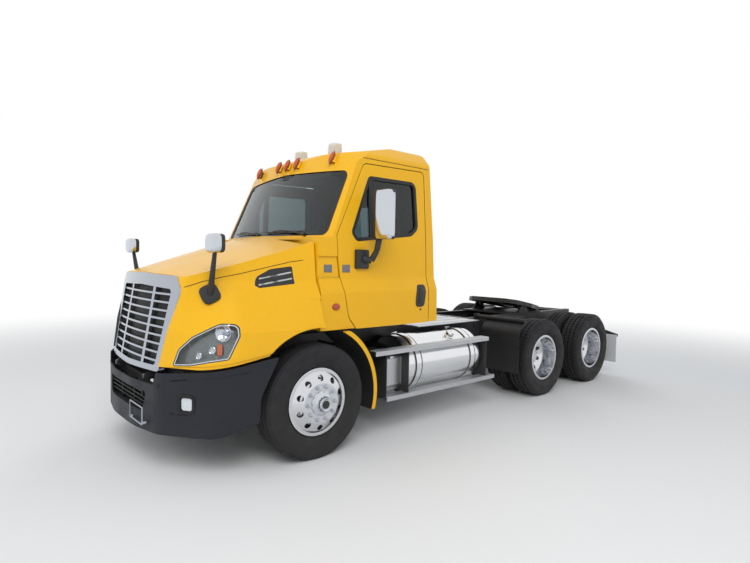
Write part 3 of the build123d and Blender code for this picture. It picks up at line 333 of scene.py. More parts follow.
PAINT = finish("yellow paint", (0.82, 0.435, 0.010), gloss=(0.26, 0.36), patch=1.2, coat=0.12,
               grain=(900.0, 0.02, 0.0003), dust=(1.3, 0.03), specular=0.25)
CHASSIS = finish("chassis black", (0.022, 0.022, 0.024), gloss=(0.35, 0.55), grain=(250.0, 0.15, 0.001),
                 dust=(1.2, 0.08))
ENGINE = finish("engine casting", (0.10, 0.10, 0.11), metal=0.4, gloss=(0.45, 0.65),
                grain=(180.0, 0.3, 0.002))
TANK = finish("polished tank", (0.80, 0.81, 0.83), metal=1.0, gloss=(0.10, 0.22), patch=5.0, dust=(1.0, 0.05))
STEP = finish("step alloy", (0.58, 0.59, 0.61), metal=1.0, gloss=(0.28, 0.42), patch=9.0,
              grain=(500.0, 0.15, 0.0006), dust=(0.9, 0.10))
COUPLING = finish("coupling casting", (0.03, 0.03, 0.03), metal=0.3, gloss=(0.3, 0.6), patch=6.0,
                  grain=(120.0, 0.3, 0.002))
GUARD = finish("guard plastic", (0.013, 0.013, 0.015), gloss=(0.45, 0.6), grain=(600.0, 0.2, 0.0008),
               dust=(1.1, 0.05))
FLAP = finish("flap rubber", (0.62, 0.63, 0.64), gloss=(0.5, 0.65), grain=(200.0, 0.2, 0.001),
              dust=(0.7, 0.35))
BUMPER = finish("bumper plastic", (0.016, 0.018, 0.024), gloss=(0.42, 0.55), patch=4.0,
                grain=(700.0, 0.2, 0.0008), dust=(0.9, 0.03), specular=0.26)
CHROME = finish("chrome", (0.60, 0.63, 0.68), metal=1.0, gloss=(0.04, 0.10), patch=8.0)
# A darker, bluer copy of the chrome for the grille and the plate frame: painted shade and dark painted
# reflections
SHADED_CHROME = finish("chrome darkened for shade", (0.42, 0.45, 0.51), metal=1.0, gloss=(0.10, 0.18), patch=8.0)
BLACK = finish("black plastic", (0.018, 0.018, 0.019), gloss=(0.38, 0.5), grain=(700.0, 0.15, 0.0006))
RUBBER = finish("seal rubber", (0.012, 0.012, 0.012), gloss=(0.5, 0.62), grain=(500.0, 0.2, 0.0006))
INTERIOR = finish("interior plastic", (0.035, 0.037, 0.045), gloss=(0.5, 0.65), grain=(500.0, 0.3, 0.001))
DASH_TOP = finish("dash pad", (0.50, 0.53, 0.45), gloss=(0.5, 0.65), grain=(400.0, 0.3, 0.001))
HOOD_INSIDE = finish("moulded hood lining", (0.06, 0.06, 0.06), gloss=(0.6, 0.75), grain=(150.0, 0.3, 0.002))
# Near-black: painted shade in the grille's recess, the bumper's openings, its towing holes and the sheets
# behind them; also the real dark joints on the roof and hood, and the fog lamp surrounds
SHADE_JOINT_TRIM_BLACK = finish("painted shade, joint and trim black", (0.006, 0.006, 0.007), gloss=(0.6, 0.7), grain=(300.0, 0.1, 0.0005))
HOUSING = finish("lamp housing", (0.13, 0.148, 0.152), metal=0.3, gloss=(0.18, 0.3), patch=12.0, coat=0.4)
FOG = finish("fog lamp lens", (0.62, 0.66, 0.68), metal=0.2, gloss=(0.08, 0.18), patch=40.0, coat=1.0)
AMBER = finish("amber lens", (0.50, 0.085, 0.006), gloss=(0.10, 0.20), coat=0.5)
RED = finish("red lens", (0.42, 0.012, 0.010), gloss=(0.08, 0.16), coat=0.6)
MARKER = finish("marker lens", (0.42, 0.045, 0.006), gloss=(0.08, 0.16), coat=0.6)
VENT_SILVER = finish("vent silver", (0.52, 0.53, 0.54), metal=0.2, gloss=(0.25, 0.35), patch=20.0)
TRIM_GREY = finish("grey trim", (0.16, 0.17, 0.19), metal=0.4, gloss=(0.3, 0.42), patch=9.0)
LOUVRE = finish("pale louvre plastic", (0.70, 0.69, 0.64), gloss=(0.45, 0.6), grain=(500.0, 0.2, 0.0008))
ALLOY = finish("wheel alloy", (0.68, 0.69, 0.72), metal=1.0, gloss=(0.12, 0.24), patch=14.0, dust=(1.0, 0.10))
TYRE = finish("tyre rubber", (0.016, 0.016, 0.018), gloss=(0.62, 0.8), patch=10.0, grain=(400.0, 0.3, 0.001),
              dust=(1.05, 0.06), specular=0.32)
SEAT = finish("seat cloth", (0.055, 0.057, 0.063), gloss=(0.8, 0.95), grain=(900.0, 0.5, 0.001))
print("finishes", len(bpy.data.materials))

# %% [markdown]
# Glass
#
# Automotive glass is faintly green-grey, and a lamp's cover is clear plastic. Both are Principled
# shaders that pass light through, and the cover bends it hardly at all, so that the lamp's inner
# pieces show in their right places.

# %% Glass
def glass(name, tint, gloss=0.02, bend=1.45, coat=0.0):
    return new_material(name, {
        "Base Color": (*tint, 1), "Roughness": gloss, "Transmission Weight": 1.0, "IOR": bend,
        "Coat Weight": coat, "Coat Roughness": 0.03})[0]


WINDOW = glass("window glass", (0.25, 0.32, 0.33))
LENS = glass("lamp lens", (0.86, 0.89, 0.90), gloss=0.05, bend=1.06, coat=1.0)
print("glass", [material.name for material in (WINDOW, LENS)])

# %% [markdown]
# Finishes on the solids
#
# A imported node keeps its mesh. Only its material slots change here. A row whose name ends in an
# underscore stands for the nodes of both sides, and the longest name that fits a node counts.

# %% Finishes on the solids
FINISH_OF = {
    "frame_ladder": CHASSIS, "engine_block": ENGINE, "front_axle": CHASSIS, "drive_axles": CHASSIS,
    "drive_suspension": CHASSIS, "fuel_tanks": TANK, "side_steps": STEP, "battery_boxes": STEP,
    "deck_plate": STEP, "fifth_wheel_base": COUPLING, "fifth_wheel_plate": COUPLING,
    "quarter_fenders": GUARD, "mud_flaps": FLAP, "splash_guards": PAINT, "bumper": BUMPER,
    "fog_lamps": FOG, "hood_shell": PAINT, "grille": SHADED_CHROME, "headlights": LENS, "hood_mirrors": BLACK,
    "cab_shell": PAINT, "cab_roof": PAINT, "cab_floor": INTERIOR, "cab_glass": WINDOW,
    "dashboard": INTERIOR, "seats": SEAT, "door_": PAINT, "door_glass_": WINDOW, "door_mirror_": BLACK,
    "knuckle_": CHASSIS, "front_wheel_": ALLOY, "front_tyre_": TYRE, "drive_wheels_": ALLOY,
    "drive_tyres_": TYRE, "tie_rod": CHASSIS,
}
for node, piece in nodes.items():
    key = max((k for k in FINISH_OF if node.startswith(k)), key=len)
    piece.data.materials.clear()
    piece.data.materials.append(FINISH_OF[key])
    for polygon in piece.data.polygons:
        polygon.material_index = 0
print("finished", len(nodes), "nodes")

# %% [markdown]
# Second finishes on parts of a solid
#
# Many real panels are painted outside and bare inside, or have a lamp moulded in, and some recesses
# and openings are painted near-black as shade. The faces of a node can each have a material of their
# own, so a test on a face's middle and its normal picks them. The tests use places from the front axle, as
# the drawings do.

# %% Picking faces
# How far before a place a face's plane has to lie to count as looking towards it
FACING = 0.02


def colour_faces(node, material, test):
    """Give another finish to the faces whose middle (from the front axle) and normal pass a test."""
    mesh = nodes[node].data
    mesh.materials.append(material)
    index = len(mesh.materials) - 1
    count = 0
    for polygon in mesh.polygons:
        p = polygon.center
        if test(p.x, p.y - FRONT_AXLE_Y, p.z, polygon.normal):
            polygon.material_index = index
            count += 1
    print(node, "in", material.name, count, "faces")


def faces_to(*middle):
    """A test that picks faces whose outer side looks towards a place inside the shell."""
    def test(x, y, z, normal):
        return (x - middle[0]) * normal.x + (y - middle[1]) * normal.y + (z - middle[2]) * normal.z < -FACING
    return test


# %% Hood, grille and lamps
GRILLE_FOOT, GRILLE_LEAN, GRILLE_BOW = (-1.222, 0.806), radians(9.5), 4.2
GRILLE_HALF, GRILLE_FRAME_DEPTH, HOOD_MIDDLE = 0.75, 0.0455, (0, -0.50, 1.30)
HINGE_TUBE_Y, HINGE_TUBE_Z, HINGE_TUBE_HALF = (-1.062, -1.012), (1.000, 1.044), 0.740
HINGE_ARM_X, HINGE_ARM_TOP, HINGE_ARM_BACK = (0.36, 0.40), 1.02, -1.0
LAMP_TURN, LAMP_ORIGIN = radians(38.0), (0.930, -0.900)
LAMP_RIGHT = Vector((cos(LAMP_TURN), sin(LAMP_TURN), 0))
LAMP_IN = Vector((-sin(LAMP_TURN), cos(LAMP_TURN), 0))
FOG_TURN, FOG_PLACE = math.atan2(0.297, 0.468), (0.870, -1.051, 0.598)
LENS_EDGE_TILT, FOG_LENS_DEEP = -0.12, 0.009


def grille_depth(x, y, z):
    """How far behind the grille's bowed front a point is."""
    up = (y - GRILLE_FOOT[0]) * cos(GRILLE_LEAN) - (z - GRILLE_FOOT[1]) * sin(GRILLE_LEAN)
    return GRILLE_BOW - math.hypot(x, up - GRILLE_BOW)


def in_hinge_frame(x, y, z, normal):
    """The tube and the arms that carry the hood."""
    tube = (HINGE_TUBE_Y[0] < y < HINGE_TUBE_Y[1] and HINGE_TUBE_Z[0] < z < HINGE_TUBE_Z[1]
            and abs(x) < HINGE_TUBE_HALF)
    arm = HINGE_ARM_X[0] < abs(x) < HINGE_ARM_X[1] and z < HINGE_ARM_TOP and y < HINGE_ARM_BACK
    return tube or arm


def behind_lens(x, y, z, normal):
    """The sides and the back of a headlight, in its own directions."""
    return normal.x * math.copysign(LAMP_IN.x, -x) + normal.y * LAMP_IN.y > LENS_EDGE_TILT


def behind_fog_lens(x, y, z, normal):
    """The fog lamp's body, which starts just behind its lens."""
    depth = abs(x) * -sin(FOG_TURN) + y * cos(FOG_TURN)
    return depth > FOG_PLACE[0] * -sin(FOG_TURN) + FOG_PLACE[1] * cos(FOG_TURN) + FOG_LENS_DEEP


# The grille's faces deeper than its frame are painted near-black: painted shade in its recess
colour_faces("grille", SHADE_JOINT_TRIM_BLACK,
             lambda x, y, z, n: abs(x) < GRILLE_HALF and grille_depth(x, y, z) > GRILLE_FRAME_DEPTH)
colour_faces("grille", BLACK, lambda x, y, z, n: abs(x) > GRILLE_HALF)
colour_faces("hood_shell", HOOD_INSIDE, faces_to(*HOOD_MIDDLE))
colour_faces("hood_shell", CHASSIS, in_hinge_frame)
colour_faces("headlights", HOUSING, behind_lens)
colour_faces("fog_lamps", BLACK, behind_fog_lens)

# %% Bumper, cab and doors
BUMPER_BARS_HALF, BUMPER_BARS_Z, GUARD_SKIN_X = 0.479, (0.488, 0.650), 1.1045
LOUVRE_FLOOR, LOUVRE_TOP, LOUVRE_Y = 2.86, 2.96, (0.740, 0.860)
LOUVRE_X = ((0.215, 0.345), (-0.435, -0.305))
CAB_MIDDLE, ROOF_MIDDLE, DASH_PAD_FLOOR = (0, 0.85, 1.90), (0, 1.0, 2.20), 1.90
# Parts of a normal: less than this upwards is a wall, more than this is a top, and a door's lining
WALL_TILT, TOP_TILT, LINING_TILT = 0.5, 0.6, -0.3
# The bumper's band of vent bars is painted near-black: painted shade in its openings
colour_faces("bumper", SHADE_JOINT_TRIM_BLACK,
             lambda x, y, z, n: abs(x) < BUMPER_BARS_HALF and BUMPER_BARS_Z[0] < z < BUMPER_BARS_Z[1])
colour_faces("splash_guards", GUARD, lambda x, y, z, n: abs(x) < GUARD_SKIN_X)
colour_faces("cab_shell", INTERIOR, faces_to(*CAB_MIDDLE))
colour_faces("cab_roof", INTERIOR, faces_to(*ROOF_MIDDLE))
colour_faces("cab_roof", LOUVRE,
             lambda x, y, z, n: z > LOUVRE_FLOOR and LOUVRE_Y[0] < y < LOUVRE_Y[1]
             and any(x0 < x < x1 for x0, x1 in LOUVRE_X) and (abs(n.z) < WALL_TILT or z > LOUVRE_TOP))
for side, sign in SIDES:
    colour_faces("door_" + side, INTERIOR, lambda x, y, z, n: n.x * sign < LINING_TILT)
colour_faces("dashboard", DASH_TOP, lambda x, y, z, n: n.z > TOP_TILT and z > DASH_PAD_FLOOR)

# %% Tanks, steps, flaps and tail lamps
TANK_MIDDLE, TANK_SKIN_RADIUS, CRADLE_RADIUS, CRADLE_X = (0.745, 0.640), 0.3030, 0.305, 0.60
STEP_HEIGHTS, STEP_INNER, STEP_OUTER = ((0.352, 0.396), (0.818, 0.862)), 0.997, 1.115
FLAP_TOP, FLAP_BACK, TAIL_LAMP_BACK, TAIL_LAMP_FOOT = 0.641, 5.7213, 5.7205, 0.80


def off_tank(x, z):
    """How far a point is from the axis of its tank."""
    return math.hypot(abs(x) - TANK_MIDDLE[0], z - TANK_MIDDLE[1])


colour_faces("fuel_tanks", RUBBER, lambda x, y, z, n: off_tank(x, z) > TANK_SKIN_RADIUS)
colour_faces("fuel_tanks", CHASSIS, lambda x, y, z, n: abs(x) < CRADLE_X and off_tank(x, z) > CRADLE_RADIUS)
colour_faces("side_steps", CHASSIS,
             lambda x, y, z, n: STEP_HEIGHTS[0][1] < z < STEP_HEIGHTS[1][0] or abs(x) < STEP_INNER - 0.001)
colour_faces("mud_flaps", CHASSIS, lambda x, y, z, n: z > FLAP_TOP or y > FLAP_BACK)
colour_faces("frame_ladder", RED, lambda x, y, z, n: y > TAIL_LAMP_BACK and z > TAIL_LAMP_FOOT)

# %% [markdown]
# Tyres
#
# A tyre's carcass is one outline spun about the axle. The tread is bands of that same surface: each
# face of a band is inset, so that a gap is left round it, and is then pushed out from the axle. The
# steered tyres have straight ribs with fine cross cuts. The driven tyres have deep blocks whose rows
# are turned a little against each other, which gives the blocks their slant.

# %% Tyre outline and tread
TREAD_HALF, SHOULDER_DROP, NARROWEST_BAND, TREAD_SLACK = 0.118, 0.004, 0.02, 0.004
BEAD_RADIUS, RIM_EDGE_RADIUS = 0.2815, 0.3045
# Sidewall rows from the bead to the shoulder: across, radius
SIDEWALL = [(0.0985, BEAD_RADIUS), (0.103, RIM_EDGE_RADIUS), (0.116, 0.309), (0.127, 0.322),
            (0.1385, 0.345), (0.1435, 0.372), (0.1452, 0.394), (0.1440, 0.398), (0.1440, 0.410),
            (0.1452, 0.414), (0.1430, 0.438), (0.1395, 0.458), (0.1360, 0.470), (0.1310, 0.480)]
# Edges of the tread's bands across the width: a wide band is raised, and a narrow one is a groove
RIB_EDGES = [-0.116, -0.079, -0.069, -0.032, -0.022, 0.022, 0.032, 0.069, 0.079, 0.116]
BLOCK_EDGES = [-0.117, -0.068, -0.058, -0.006, 0.006, 0.058, 0.068, 0.117]


def build_tyre(edges, depth, pitch, gap, slant):
    """One tyre round the origin with its axle along X."""
    bm = bmesh.new()
    floor_radius = TYRE_RADIUS - depth
    rows = [(-u, r) for u, r in SIDEWALL] + [(u, floor_radius) for u in edges] + list(reversed(SIDEWALL))
    verts = []
    for i, (u, r) in enumerate(rows):
        inside = len(SIDEWALL) <= i < len(SIDEWALL) + len(edges)
        turn = slant * (1 - abs(u) / TREAD_HALF) if inside else 0.0
        verts.append(bm.verts.new((u, r * sin(turn), r * cos(turn))))
    spin_outline(bm, verts, (0, 0, 0), (1, 0, 0), pitch, closed=True)
    bmesh.ops.remove_doubles(bm, verts=bm.verts, dist=1e-5)
    bands = [(a, b) for a, b in zip(edges, edges[1:]) if b - a > NARROWEST_BAND]
    raised = []
    for face in bm.faces:
        centre = face.calc_center_median()
        on_tread = math.hypot(centre.y, centre.z) > floor_radius - TREAD_SLACK
        if on_tread and any(a < centre.x < b for a, b in bands):
            raised.append(face)
    bmesh.ops.recalc_face_normals(bm, faces=bm.faces)
    bmesh.ops.inset_individual(bm, faces=raised, thickness=gap, depth=0.0)
    for v in {v for f in raised for v in f.verts}:
        out = Vector((0, v.co.y, v.co.z))
        drop = SHOULDER_DROP * (abs(v.co.x) / TREAD_HALF) ** 2
        v.co += out.normalized() * (TYRE_RADIUS - drop - out.length)
    return bm


def place_tyre(name, template, centre, body, node):
    bm = template.copy()
    bmesh.ops.translate(bm, verts=bm.verts, vec=centre)
    piece = new_piece(name, bm, TYRE, body, smooth_angle=28.0)
    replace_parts(piece, node)


# %% Tyres on their wheels
rib_tyre = build_tyre(RIB_EDGES, depth=0.015, pitch=96, gap=0.0012, slant=0.0)
block_tyre = build_tyre(BLOCK_EDGES, depth=0.020, pitch=64, gap=0.0045, slant=0.05)
for side, sign in SIDES:
    node = "front_tyre_" + side
    low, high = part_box(node)
    place_tyre("steered_tyre_" + side, rib_tyre, (low + high) / 2, "front_wheel_" + side, node)
    for place in ("forward", "rear"):
        node, body = "drive_tyres_%s_%s" % (place, side), "drive_wheels_%s_%s" % (place, side)
        low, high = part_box(node)
        middle = (low + high) / 2
        for label, x in (("low", low.x + TYRE_HALF_WIDTH), ("high", high.x - TYRE_HALF_WIDTH)):
            place_tyre("driven_tyre_%s_%s_%s" % (place, side, label), block_tyre,
                       Vector((x, middle.y, middle.z)), body, node)
rib_tyre.free()
block_tyre.free()

# %% [markdown]
# Wheel nuts and hubs
#
# Ten studs hold each disc. A nut is six-sided, on a round washer, with the end of its stud showing. A
# drive hub also has eight small bolts round its shaft's flange, and a front hub has a turned cap.

# %% Wheel nuts and hubs
STUD_COUNT, STUD_CIRCLE, SHAFT_BOLT_COUNT, SHAFT_BOLT_CIRCLE = 10, 0.14288, 8, 0.086
FRONT_DISC_X, DRIVE_DISC_X = 1.2045, 0.9385
# Parts of a nut, outwards from the disc: from, to, radius, sides, bevel
NUT_PARTS = ((0.0, 0.005, 0.0225, 20, 0.0), (0.005, 0.026, 0.0185, 6, 0.0015),
             (0.026, 0.038, 0.0105, 14, 0.0012))
SHAFT_BOLT_PARTS = ((1.030, 1.046, 0.0105, 6, 0.001),)
# The front cap's outline and the window in its end: out from the disc, radius
FRONT_CAP = [(0.056, 0.0), (0.056, 0.030), (0.050, 0.040), (0.064, 0.043), (0.070, 0.050), (0.070, 0.058),
             (0.060, 0.064), (0.034, 0.068), (0.022, 0.082), (0.020, 0.098), (0.012, 0.106), (0.002, 0.106)]
OIL_WINDOW_FROM, OIL_WINDOW_TO, OIL_WINDOW_RADIUS = 0.056, 0.0665, 0.036


def add_studs(bm, centre, sign, face_x, count, circle, parts, first=0.0):
    """The same parts at even places on a circle round the axle."""
    for i in range(count):
        a = 2 * pi * (i + first) / count
        y, z = centre.y + circle * cos(a), centre.z + circle * sin(a)
        for near, far, radius, sides, bevel in parts:
            add_cylinder(bm, (face_x + sign * near, y, z), (face_x + sign * far, y, z), radius, sides,
                         bevel=bevel)


for side, sign in SIDES:
    body = "front_wheel_" + side
    face_x = sign * FRONT_DISC_X
    centre = Vector((face_x, FRONT_AXLE_Y, AXLE_Z))
    bm = bmesh.new()
    add_studs(bm, centre, sign, face_x, STUD_COUNT, STUD_CIRCLE, NUT_PARTS)
    add_ring(bm, [(sign * u, r) for u, r in FRONT_CAP], centre, Vector((1, 0, 0)), 40)
    new_piece("front_nuts_" + side, bm, CHROME, body)
    bm = bmesh.new()
    add_cylinder(bm, (face_x + sign * OIL_WINDOW_FROM, centre.y, centre.z),
                 (face_x + sign * OIL_WINDOW_TO, centre.y, centre.z), OIL_WINDOW_RADIUS, 32, bevel=0.002)
    new_piece("front_oil_window_" + side, bm, BLACK, body)
    for place in ("forward", "rear"):
        node = "drive_wheels_%s_%s" % (place, side)
        low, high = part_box(node)
        centre = (low + high) / 2
        bm = bmesh.new()
        add_studs(bm, centre, sign, sign * DRIVE_DISC_X, STUD_COUNT, STUD_CIRCLE, NUT_PARTS)
        add_studs(bm, centre, sign, 0.0, SHAFT_BOLT_COUNT, SHAFT_BOLT_CIRCLE, SHAFT_BOLT_PARTS, first=0.5)
        new_piece("drive_nuts_%s_%s" % (place, side), bm, CHROME, node)

# %% [markdown]
# Outlines with round corners
#
# Glass seals, lamp bezels and plate frames are all rings round an outline. The outline is given by
# its corners, each with a radius, as on the drawing of the real panel. One helper turns the corners
# into arcs, and another makes a ring from a filled face by insetting it and deleting its middle.

# %% Outlines with round corners
def filled(bm, rows, steps=6):
    """One face on the XY plane inside a closed outline of (a, b, radius) corners."""
    points = []
    for i, (a, b, r) in enumerate(rows):
        corner = Vector((a, b))
        before = (Vector(rows[i - 1][:2]) - corner).normalized()
        after = (Vector(rows[(i + 1) % len(rows)][:2]) - corner).normalized()
        if r <= 0:
            points.append(corner)
            continue
        half = before.angle(after) / 2
        reach = r / math.tan(half)
        centre = corner + (before + after).normalized() * (r / sin(half))
        start, end = corner + before * reach - centre, corner + after * reach - centre
        turn = start.angle_signed(end)
        for k in range(steps + 1):
            points.append(centre + Matrix.Rotation(-turn * k / steps, 2) @ start)
    return bm.faces.new([bm.verts.new((p.x, p.y, 0)) for p in points])


def lay_on(bm, faces, place, depth):
    """Give flat faces a back at a depth, and lay front and back on a surface by place(a, b, depth)."""
    made = bmesh.ops.extrude_face_region(bm, geom=faces, use_keep_orig=True)["geom"]
    back = {v for v in made if isinstance(v, bmesh.types.BMVert)}
    for v in bm.verts:
        v.co = place(v.co.x, v.co.y, depth if v in back else 0.0)
    return bm


def band(rows, width, place, depth, margin=0.0):
    """A closed ring as wide as width, starting margin inside an outline, laid on a surface."""
    bm = bmesh.new()
    face = filled(bm, rows)
    face.normal_update()
    if margin:
        spare = bmesh.ops.inset_region(bm, faces=[face], use_boundary=True, thickness=margin)["faces"]
        bmesh.ops.delete(bm, geom=spare, context="FACES")
    ring = bmesh.ops.inset_region(bm, faces=[face], use_boundary=True, thickness=width)["faces"]
    bmesh.ops.delete(bm, geom=[face], context="FACES_ONLY")
    return lay_on(bm, ring, place, depth)


# %% [markdown]
# The cab's surfaces as formulas
#
# The windscreen is part of a wide drum that leans back, and the cab's side is a nearly flat sheet that
# leans in above the belt. A seal is laid on either by asking where the surface is.

# %% The cab's surfaces
SCREEN_BASE_Y, SCREEN_RADIUS, SCREEN_SLOPE, BELT_Z = 0.070, 4.100, radians(24.0), 1.950
# The side's half width at each height
SIDE_LINE = [(1.110, 1.082), (1.430, 1.086), (1.575, 1.044), (1.950, 1.034), (2.770, 0.984)]
BACK_FOOT, BACK_TOP_Z, BACK_LEAN = (1.600, 1.110), 2.771, 0.060


def on_screen(x, z, depth):
    """A point on the windscreen's drum, depth behind its outer surface."""
    radius = SCREEN_RADIUS - depth
    axis_y = SCREEN_BASE_Y + SCREEN_RADIUS * cos(SCREEN_SLOPE)
    axis_z = BELT_Z - SCREEN_RADIUS * sin(SCREEN_SLOPE)
    y = axis_y + ((z - axis_z) * sin(SCREEN_SLOPE) - math.sqrt(radius ** 2 - x ** 2)) / cos(SCREEN_SLOPE)
    return at(x, y, z)


def side_x(z):
    """How far out the cab's side is at a height."""
    for (z0, x0), (z1, x1) in zip(SIDE_LINE, SIDE_LINE[1:]):
        if z <= z1:
            return x0 + (x1 - x0) * (z - z0) / (z1 - z0)
    return SIDE_LINE[-1][1]


def on_side(y, z, depth):
    return at(side_x(z) - depth, y, z)


def on_back(x, z, depth):
    back_y = BACK_FOOT[0] - BACK_LEAN * (z - BACK_FOOT[1]) / (BACK_TOP_Z - BACK_FOOT[1])
    return at(x, back_y - depth, z)


# %% Glass seals
SCREEN_ROWS = [(-0.962, 1.968, 0.06), (0.962, 1.968, 0.06), (0.940, 2.598, 0.09), (0, 2.638, 0),
               (-0.940, 2.598, 0.09)]
WINDOW_ROWS = [(0.500, 1.920, 0.06), (0.436, 2.000, 0.06), (0.668, 2.560, 0.06), (1.318, 2.566, 0.08),
               (1.342, 2.080, 0.10), (1.240, 2.000, 0.12)]
REAR_ROWS = [(-0.430, 1.850, 0.06), (0.430, 1.850, 0.06), (0.430, 2.420, 0.06), (-0.430, 2.420, 0.06)]
# How deep the front of each seal lies under the skin, and the bar's
SCREEN_SINK, REAR_SINK, SIDE_SINK, BAR_SINK = 0.004, -0.004, 0.001, 0.004
# The bar between the front quarter light and the sliding pane
WINDOW_BAR = [(0.672, 1.945, 0), (0.738, 1.945, 0), (0.738, 2.548, 0), (0.672, 2.548, 0)]

bm = band(SCREEN_ROWS, width=0.056, depth=0.012, place=lambda a, b, d: on_screen(a, b, SCREEN_SINK + d))
new_piece("windscreen_seal", bm, RUBBER, "chassis")
bm = band(REAR_ROWS, width=0.030, depth=0.022, place=lambda a, b, d: on_back(a, b, REAR_SINK + d))
new_piece("rear_window_seal", bm, RUBBER, "chassis")
for side, sign in SIDES:
    bm = band(WINDOW_ROWS, width=0.034, depth=0.024, place=lambda a, b, d: on_side(a, b, SIDE_SINK + d))
    bar = bmesh.new()
    add_loose(bm, lay_on(bar, [filled(bar, WINDOW_BAR)], depth=0.020,
                         place=lambda a, b, d: on_side(a, b, BAR_SINK + d)))
    new_piece("side_window_seal_" + side, bm, RUBBER, "door_" + side, flip=sign < 0)

# %% [markdown]
# Roof lamps and louvred boxes
#
# Five amber lamps stand on the brow over the windscreen. Each is a drop-shaped lens, narrow at its
# lower end, on a black base. Two pale louvred boxes sit on the roof behind them. The roof's own surface
# is found by casting a ray onto it, so each piece sits where the panel really is.

# %% Finding a surface
# How far out the rays start: at the roof, and at the flanks
ROOF_RAY_FROM, FLANK_RAY_FROM = 1.5, 2.0


def hit(node, start, way):
    """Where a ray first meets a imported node: the point and the outward normal."""
    found, point, normal, index = nodes[node].ray_cast(Vector(start), Vector(way).normalized())
    if not found:
        raise ValueError("the ray misses " + node)
    return point, normal


# %% Roof lamps
LAMP_X, BROW_Z, LAMP_LIFT = (-0.703, -0.176, 0.0, 0.176, 0.703), 2.735, 0.006


def add_drop(bm, place, rings, wide, taper, deep, tall):
    """A flattened ball that narrows towards its lower end."""
    made = bmesh.ops.create_uvsphere(bm, u_segments=20, v_segments=rings, radius=1.0)["verts"]
    for v in made:
        width = wide * (1.0 - taper * max(0.0, -v.co.z))
        v.co = Vector((v.co.x * width, v.co.y * deep, v.co.z * tall))
    bmesh.ops.transform(bm, matrix=place, verts=made)


lens, base = bmesh.new(), bmesh.new()
for x in LAMP_X:
    point, normal = hit("cab_roof", at(x, -ROOF_RAY_FROM, BROW_Z), REARWARDS)
    up = (UP - normal * normal.z).normalized()
    place = Matrix((up.cross(normal), normal, up)).transposed().to_4x4()
    place.translation = point + normal * LAMP_LIFT
    add_drop(lens, place, 14, wide=0.023, taper=0.60, deep=0.032, tall=0.072)
    add_drop(base, place, 10, wide=0.026, taper=0.55, deep=0.010, tall=0.077)
new_piece("roof_lamps", lens, AMBER, "chassis")
new_piece("roof_lamp_bases", base, BLACK, "chassis")

# %% The groove round the roof cap
GROOVE_Z, GROOVE_ENDS, GROOVE_STEPS, GROOVE_SINK, LINE_RADIUS = 2.726, (0.600, 1.560), 24, 0.0005, 0.0032
for side, sign in SIDES:
    groove = []
    for i in range(GROOVE_STEPS + 1):
        y = GROOVE_ENDS[0] + (GROOVE_ENDS[1] - GROOVE_ENDS[0]) * i / GROOVE_STEPS
        # The line passes from one solid to the other, so the outer of the two surfaces counts
        tries = [nodes[node].ray_cast(at(sign * ROOF_RAY_FROM, y, GROOVE_Z), Vector((-sign, 0, 0)))
                 for node in ("cab_shell", "cab_roof")]
        met = [(abs(point.x), point - normal * GROOVE_SINK)
               for found, point, normal, index in tries if found]
        if met:
            groove.append(max(met, key=lambda pair: pair[0])[1])
    bm = bmesh.new()
    add_bead(bm, groove, LINE_RADIUS)
    new_piece("roof_groove_" + side, bm, SHADE_JOINT_TRIM_BLACK, "chassis")

# %% Louvres on the roof boxes
VENT_BOXES, VENT_HALF, VENT_TOP = ((0.280, 0.800), (-0.370, 0.800)), (0.060, 0.0475), 2.993
SLAT_COUNT, SLAT_PITCH, SLAT_TALL, LOWEST_SLAT, SLAT_PROUD = 6, 0.012, 0.005, 0.100, 0.003
CROWN_PROUD, CROWN_DEEP, CROWN_RISE = 0.004, 0.030, 0.003
bm = bmesh.new()
for x, y in VENT_BOXES:
    wide, deep = VENT_HALF
    add_soft_box(bm, at(x - wide - CROWN_PROUD, y - deep - CROWN_PROUD, VENT_TOP - CROWN_DEEP),
                 at(x + wide + CROWN_PROUD, y + deep + CROWN_PROUD, VENT_TOP + CROWN_RISE), power=6.0, cuts=8)
    for i in range(SLAT_COUNT):
        z0 = VENT_TOP - LOWEST_SLAT + i * SLAT_PITCH
        add_box(bm, at(x - wide - SLAT_PROUD, y - deep - SLAT_PROUD, z0),
                at(x + wide + SLAT_PROUD, y + deep + SLAT_PROUD, z0 + SLAT_TALL), bevel=0.0015)
new_piece("roof_louvres", bm, LOUVRE, "chassis")

# %% [markdown]
# Wipers
#
# Two long arms are parked along the foot of the windscreen. Each has a hub on the cowl, a tapered arm
# and a blade that follows the drum of the glass.

# %% Wipers
WIPERS, HUB_Z, ELBOW_Z, TIP_Z, BLADE_Z = ((0.70, 0.06), (-0.04, -0.70)), 1.985, 2.026, 2.019, 2.010
BLADE_STEPS, BLADE_GAP, TIP_SHARE = 14, 0.06, 0.75
HUB_BACK, HUB_FRONT = Vector((0, 0.03, -0.02)), Vector((0, -0.012, 0.008))
bm = bmesh.new()
for hub_x, tip_x in WIPERS:
    hub = on_screen(hub_x, HUB_Z, depth=-0.020)
    elbow = on_screen((hub_x + tip_x) / 2, ELBOW_Z, depth=-0.028)
    tip = on_screen(hub_x * (1 - TIP_SHARE) + tip_x * TIP_SHARE, TIP_Z, depth=-0.022)
    add_cylinder(bm, hub + HUB_BACK, hub + HUB_FRONT, radius=0.018, sides=20, bevel=0.003)
    add_cylinder(bm, hub, elbow, radius=0.008, sides=12, end_radius=0.006)
    add_cylinder(bm, elbow, tip, radius=0.006, sides=12, end_radius=0.004)
    places = [tip_x + (hub_x - BLADE_GAP - tip_x) * i / BLADE_STEPS for i in range(BLADE_STEPS + 1)]
    add_bead(bm, [on_screen(x, BLADE_Z, depth=-0.009) for x in places], radius=0.0065)
new_piece("wipers", bm, BLACK, "chassis")

